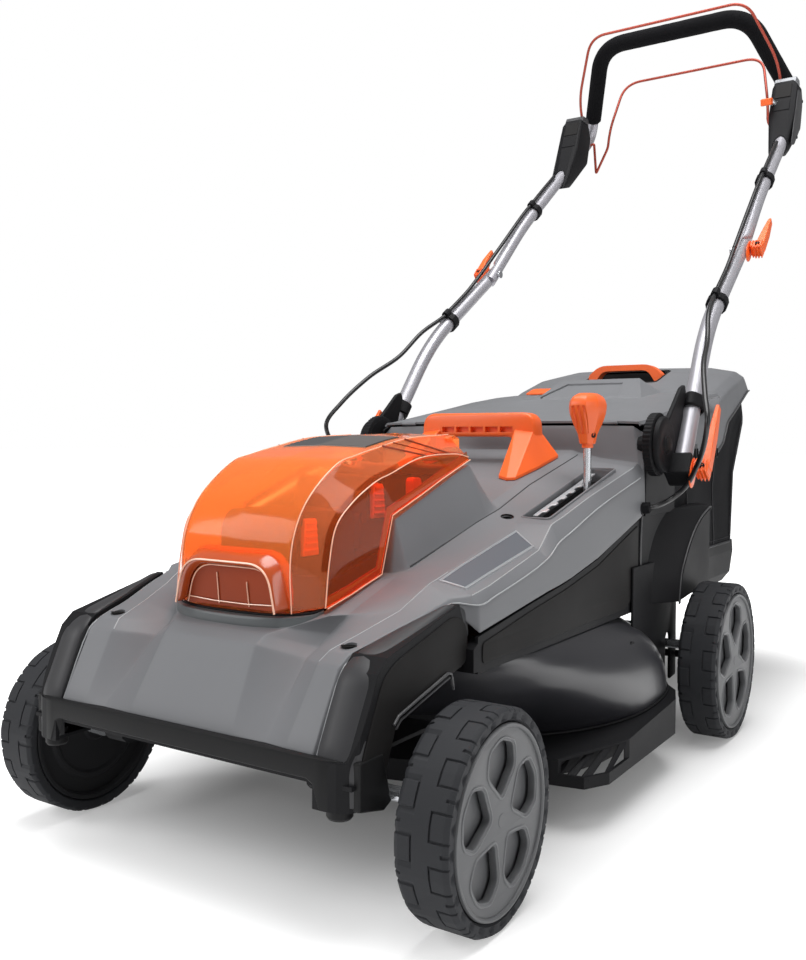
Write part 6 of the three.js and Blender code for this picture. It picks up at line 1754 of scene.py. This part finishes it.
# ------------------------------------------------------------------ stage
FLOOR_SHADOW_PATCH = (0.14, 0.45, 0.0)  # half size of the painted shadow patch below the mower, in metres
# The near colour is the painted shadow under the mower; the far one is the plain pale floor.
FLOOR_PAINTED_SHADOW, FLOOR_FAR = (0.56, 0.56, 0.56, 1), (0.82, 0.82, 0.82, 1)
FILL = 0.28  # light that the white surroundings give


def cleared_tree(owner):
    """The node tree of a material or world, emptied."""
    owner.use_nodes = True
    owner.node_tree.nodes.clear()
    return owner.node_tree


def maths(tree, operation, *values, vector=False):
    inputs = {f"i{i}": value for i, value in enumerate(values)}
    made = node(tree, "ShaderNodeVectorMath" if vector else "ShaderNodeMath", operation=operation, **inputs)
    return made.outputs["Value" if operation == "LENGTH" else 0]


def ramp(tree, value, reach, low, high):
    """Eases from low to high while the value goes from 0 to its reach."""
    made = node(tree, "ShaderNodeMapRange", interpolation_type="SMOOTHSTEP", i0=value, i1=0.0, i2=reach,
                i3=low, i4=high)
    return made.outputs["Result"]


def make_floor():
    """Plain floor with a painted shadow: grey below the mower and white further out, where it meets the
    backdrop without a line.
    """
    mesh = bpy.data.meshes.new("floor")
    size = 30.0
    mesh.from_pydata([(-size, -size, 0), (size, -size, 0), (size, size, 0), (-size, size, 0)], [],
                     [(0, 1, 2, 3)])
    mesh.materials.append(bpy.data.materials.new("floor"))
    tree = cleared_tree(mesh.materials[0])
    at = node(tree, "ShaderNodeTexCoord").outputs["Object"]
    past_shadow_patch = maths(tree, "SUBTRACT", maths(tree, "ABSOLUTE", at, vector=True), FLOOR_SHADOW_PATCH, vector=True)
    far = maths(tree, "LENGTH", maths(tree, "MAXIMUM", past_shadow_patch, (0.0, 0.0, 0.0), vector=True), vector=True)
    tone = node(tree, "ShaderNodeMix", data_type="RGBA", i0=ramp(tree, far, 0.3, 0.0, 1.0), i6=FLOOR_PAINTED_SHADOW,
                i7=FLOOR_FAR)
    ray = node(tree, "ShaderNodeLightPath")
    seen = maths(tree, "MAXIMUM", ray.outputs["Is Camera Ray"], ray.outputs["Is Glossy Ray"])
    seen = maths(tree, "MAXIMUM", seen, ray.outputs["Is Transmission Ray"])
    # Less glow near the mower deepens the painted shadow; the glow is full white further out.
    lift = maths(tree, "MULTIPLY", seen, ramp(tree, far, 0.5, 0.08, 1.0))
    lit = node(tree, "ShaderNodeBsdfDiffuse", Color=tone.outputs[2])
    glow = node(tree, "ShaderNodeEmission", Color=(1, 1, 1, 1), Strength=lift)
    both = node(tree, "ShaderNodeAddShader", i0=lit.outputs[0], i1=glow.outputs[0])
    node(tree, "ShaderNodeOutputMaterial", Surface=both.outputs[0])
    floor = bpy.data.objects.new("floor", mesh)
    bpy.context.scene.collection.objects.link(floor)


def make_world():
    """White backdrop for the camera, which lights the mower much less."""
    world = bpy.data.worlds.new("studio")
    bpy.context.scene.world = world
    tree = cleared_tree(world)
    ray = node(tree, "ShaderNodeLightPath")
    seen = maths(tree, "MAXIMUM", ray.outputs["Is Camera Ray"], ray.outputs["Is Transmission Ray"])
    level = node(tree, "ShaderNodeMapRange", i0=seen, i1=0.0, i2=1.0, i3=FILL, i4=1.0)
    back = node(tree, "ShaderNodeBackground", Color=(1, 1, 1, 1), Strength=level.outputs["Result"])
    node(tree, "ShaderNodeOutputWorld", Surface=back.outputs[0])


def make_lamp(name, at, target, size, power):
    data = bpy.data.lights.new(name, "AREA")
    data.shape = "RECTANGLE"
    data.size, data.size_y = size
    data.energy = power
    lamp = bpy.data.objects.new(name, data)
    bpy.context.scene.collection.objects.link(lamp)
    lamp.location = at
    lamp.rotation_mode = "QUATERNION"
    lamp.rotation_quaternion = (Vector(target) - Vector(at)).to_track_quat("-Z", "Y")


make_floor()
make_world()
make_lamp("overhead", (0.2, -0.2, 2.6), (0, 0, 0.3), (2.0, 2.0), 72)
make_lamp("front", (-1.7, -2.3, 1.7), (0, -0.1, 0.4), (1.2, 1.2), 30)
make_lamp("side", (2.6, -0.6, 1.2), (0, 0.1, 0.4), (1.2, 1.6), 15)
bpy.context.scene.view_settings.view_transform = "Standard"
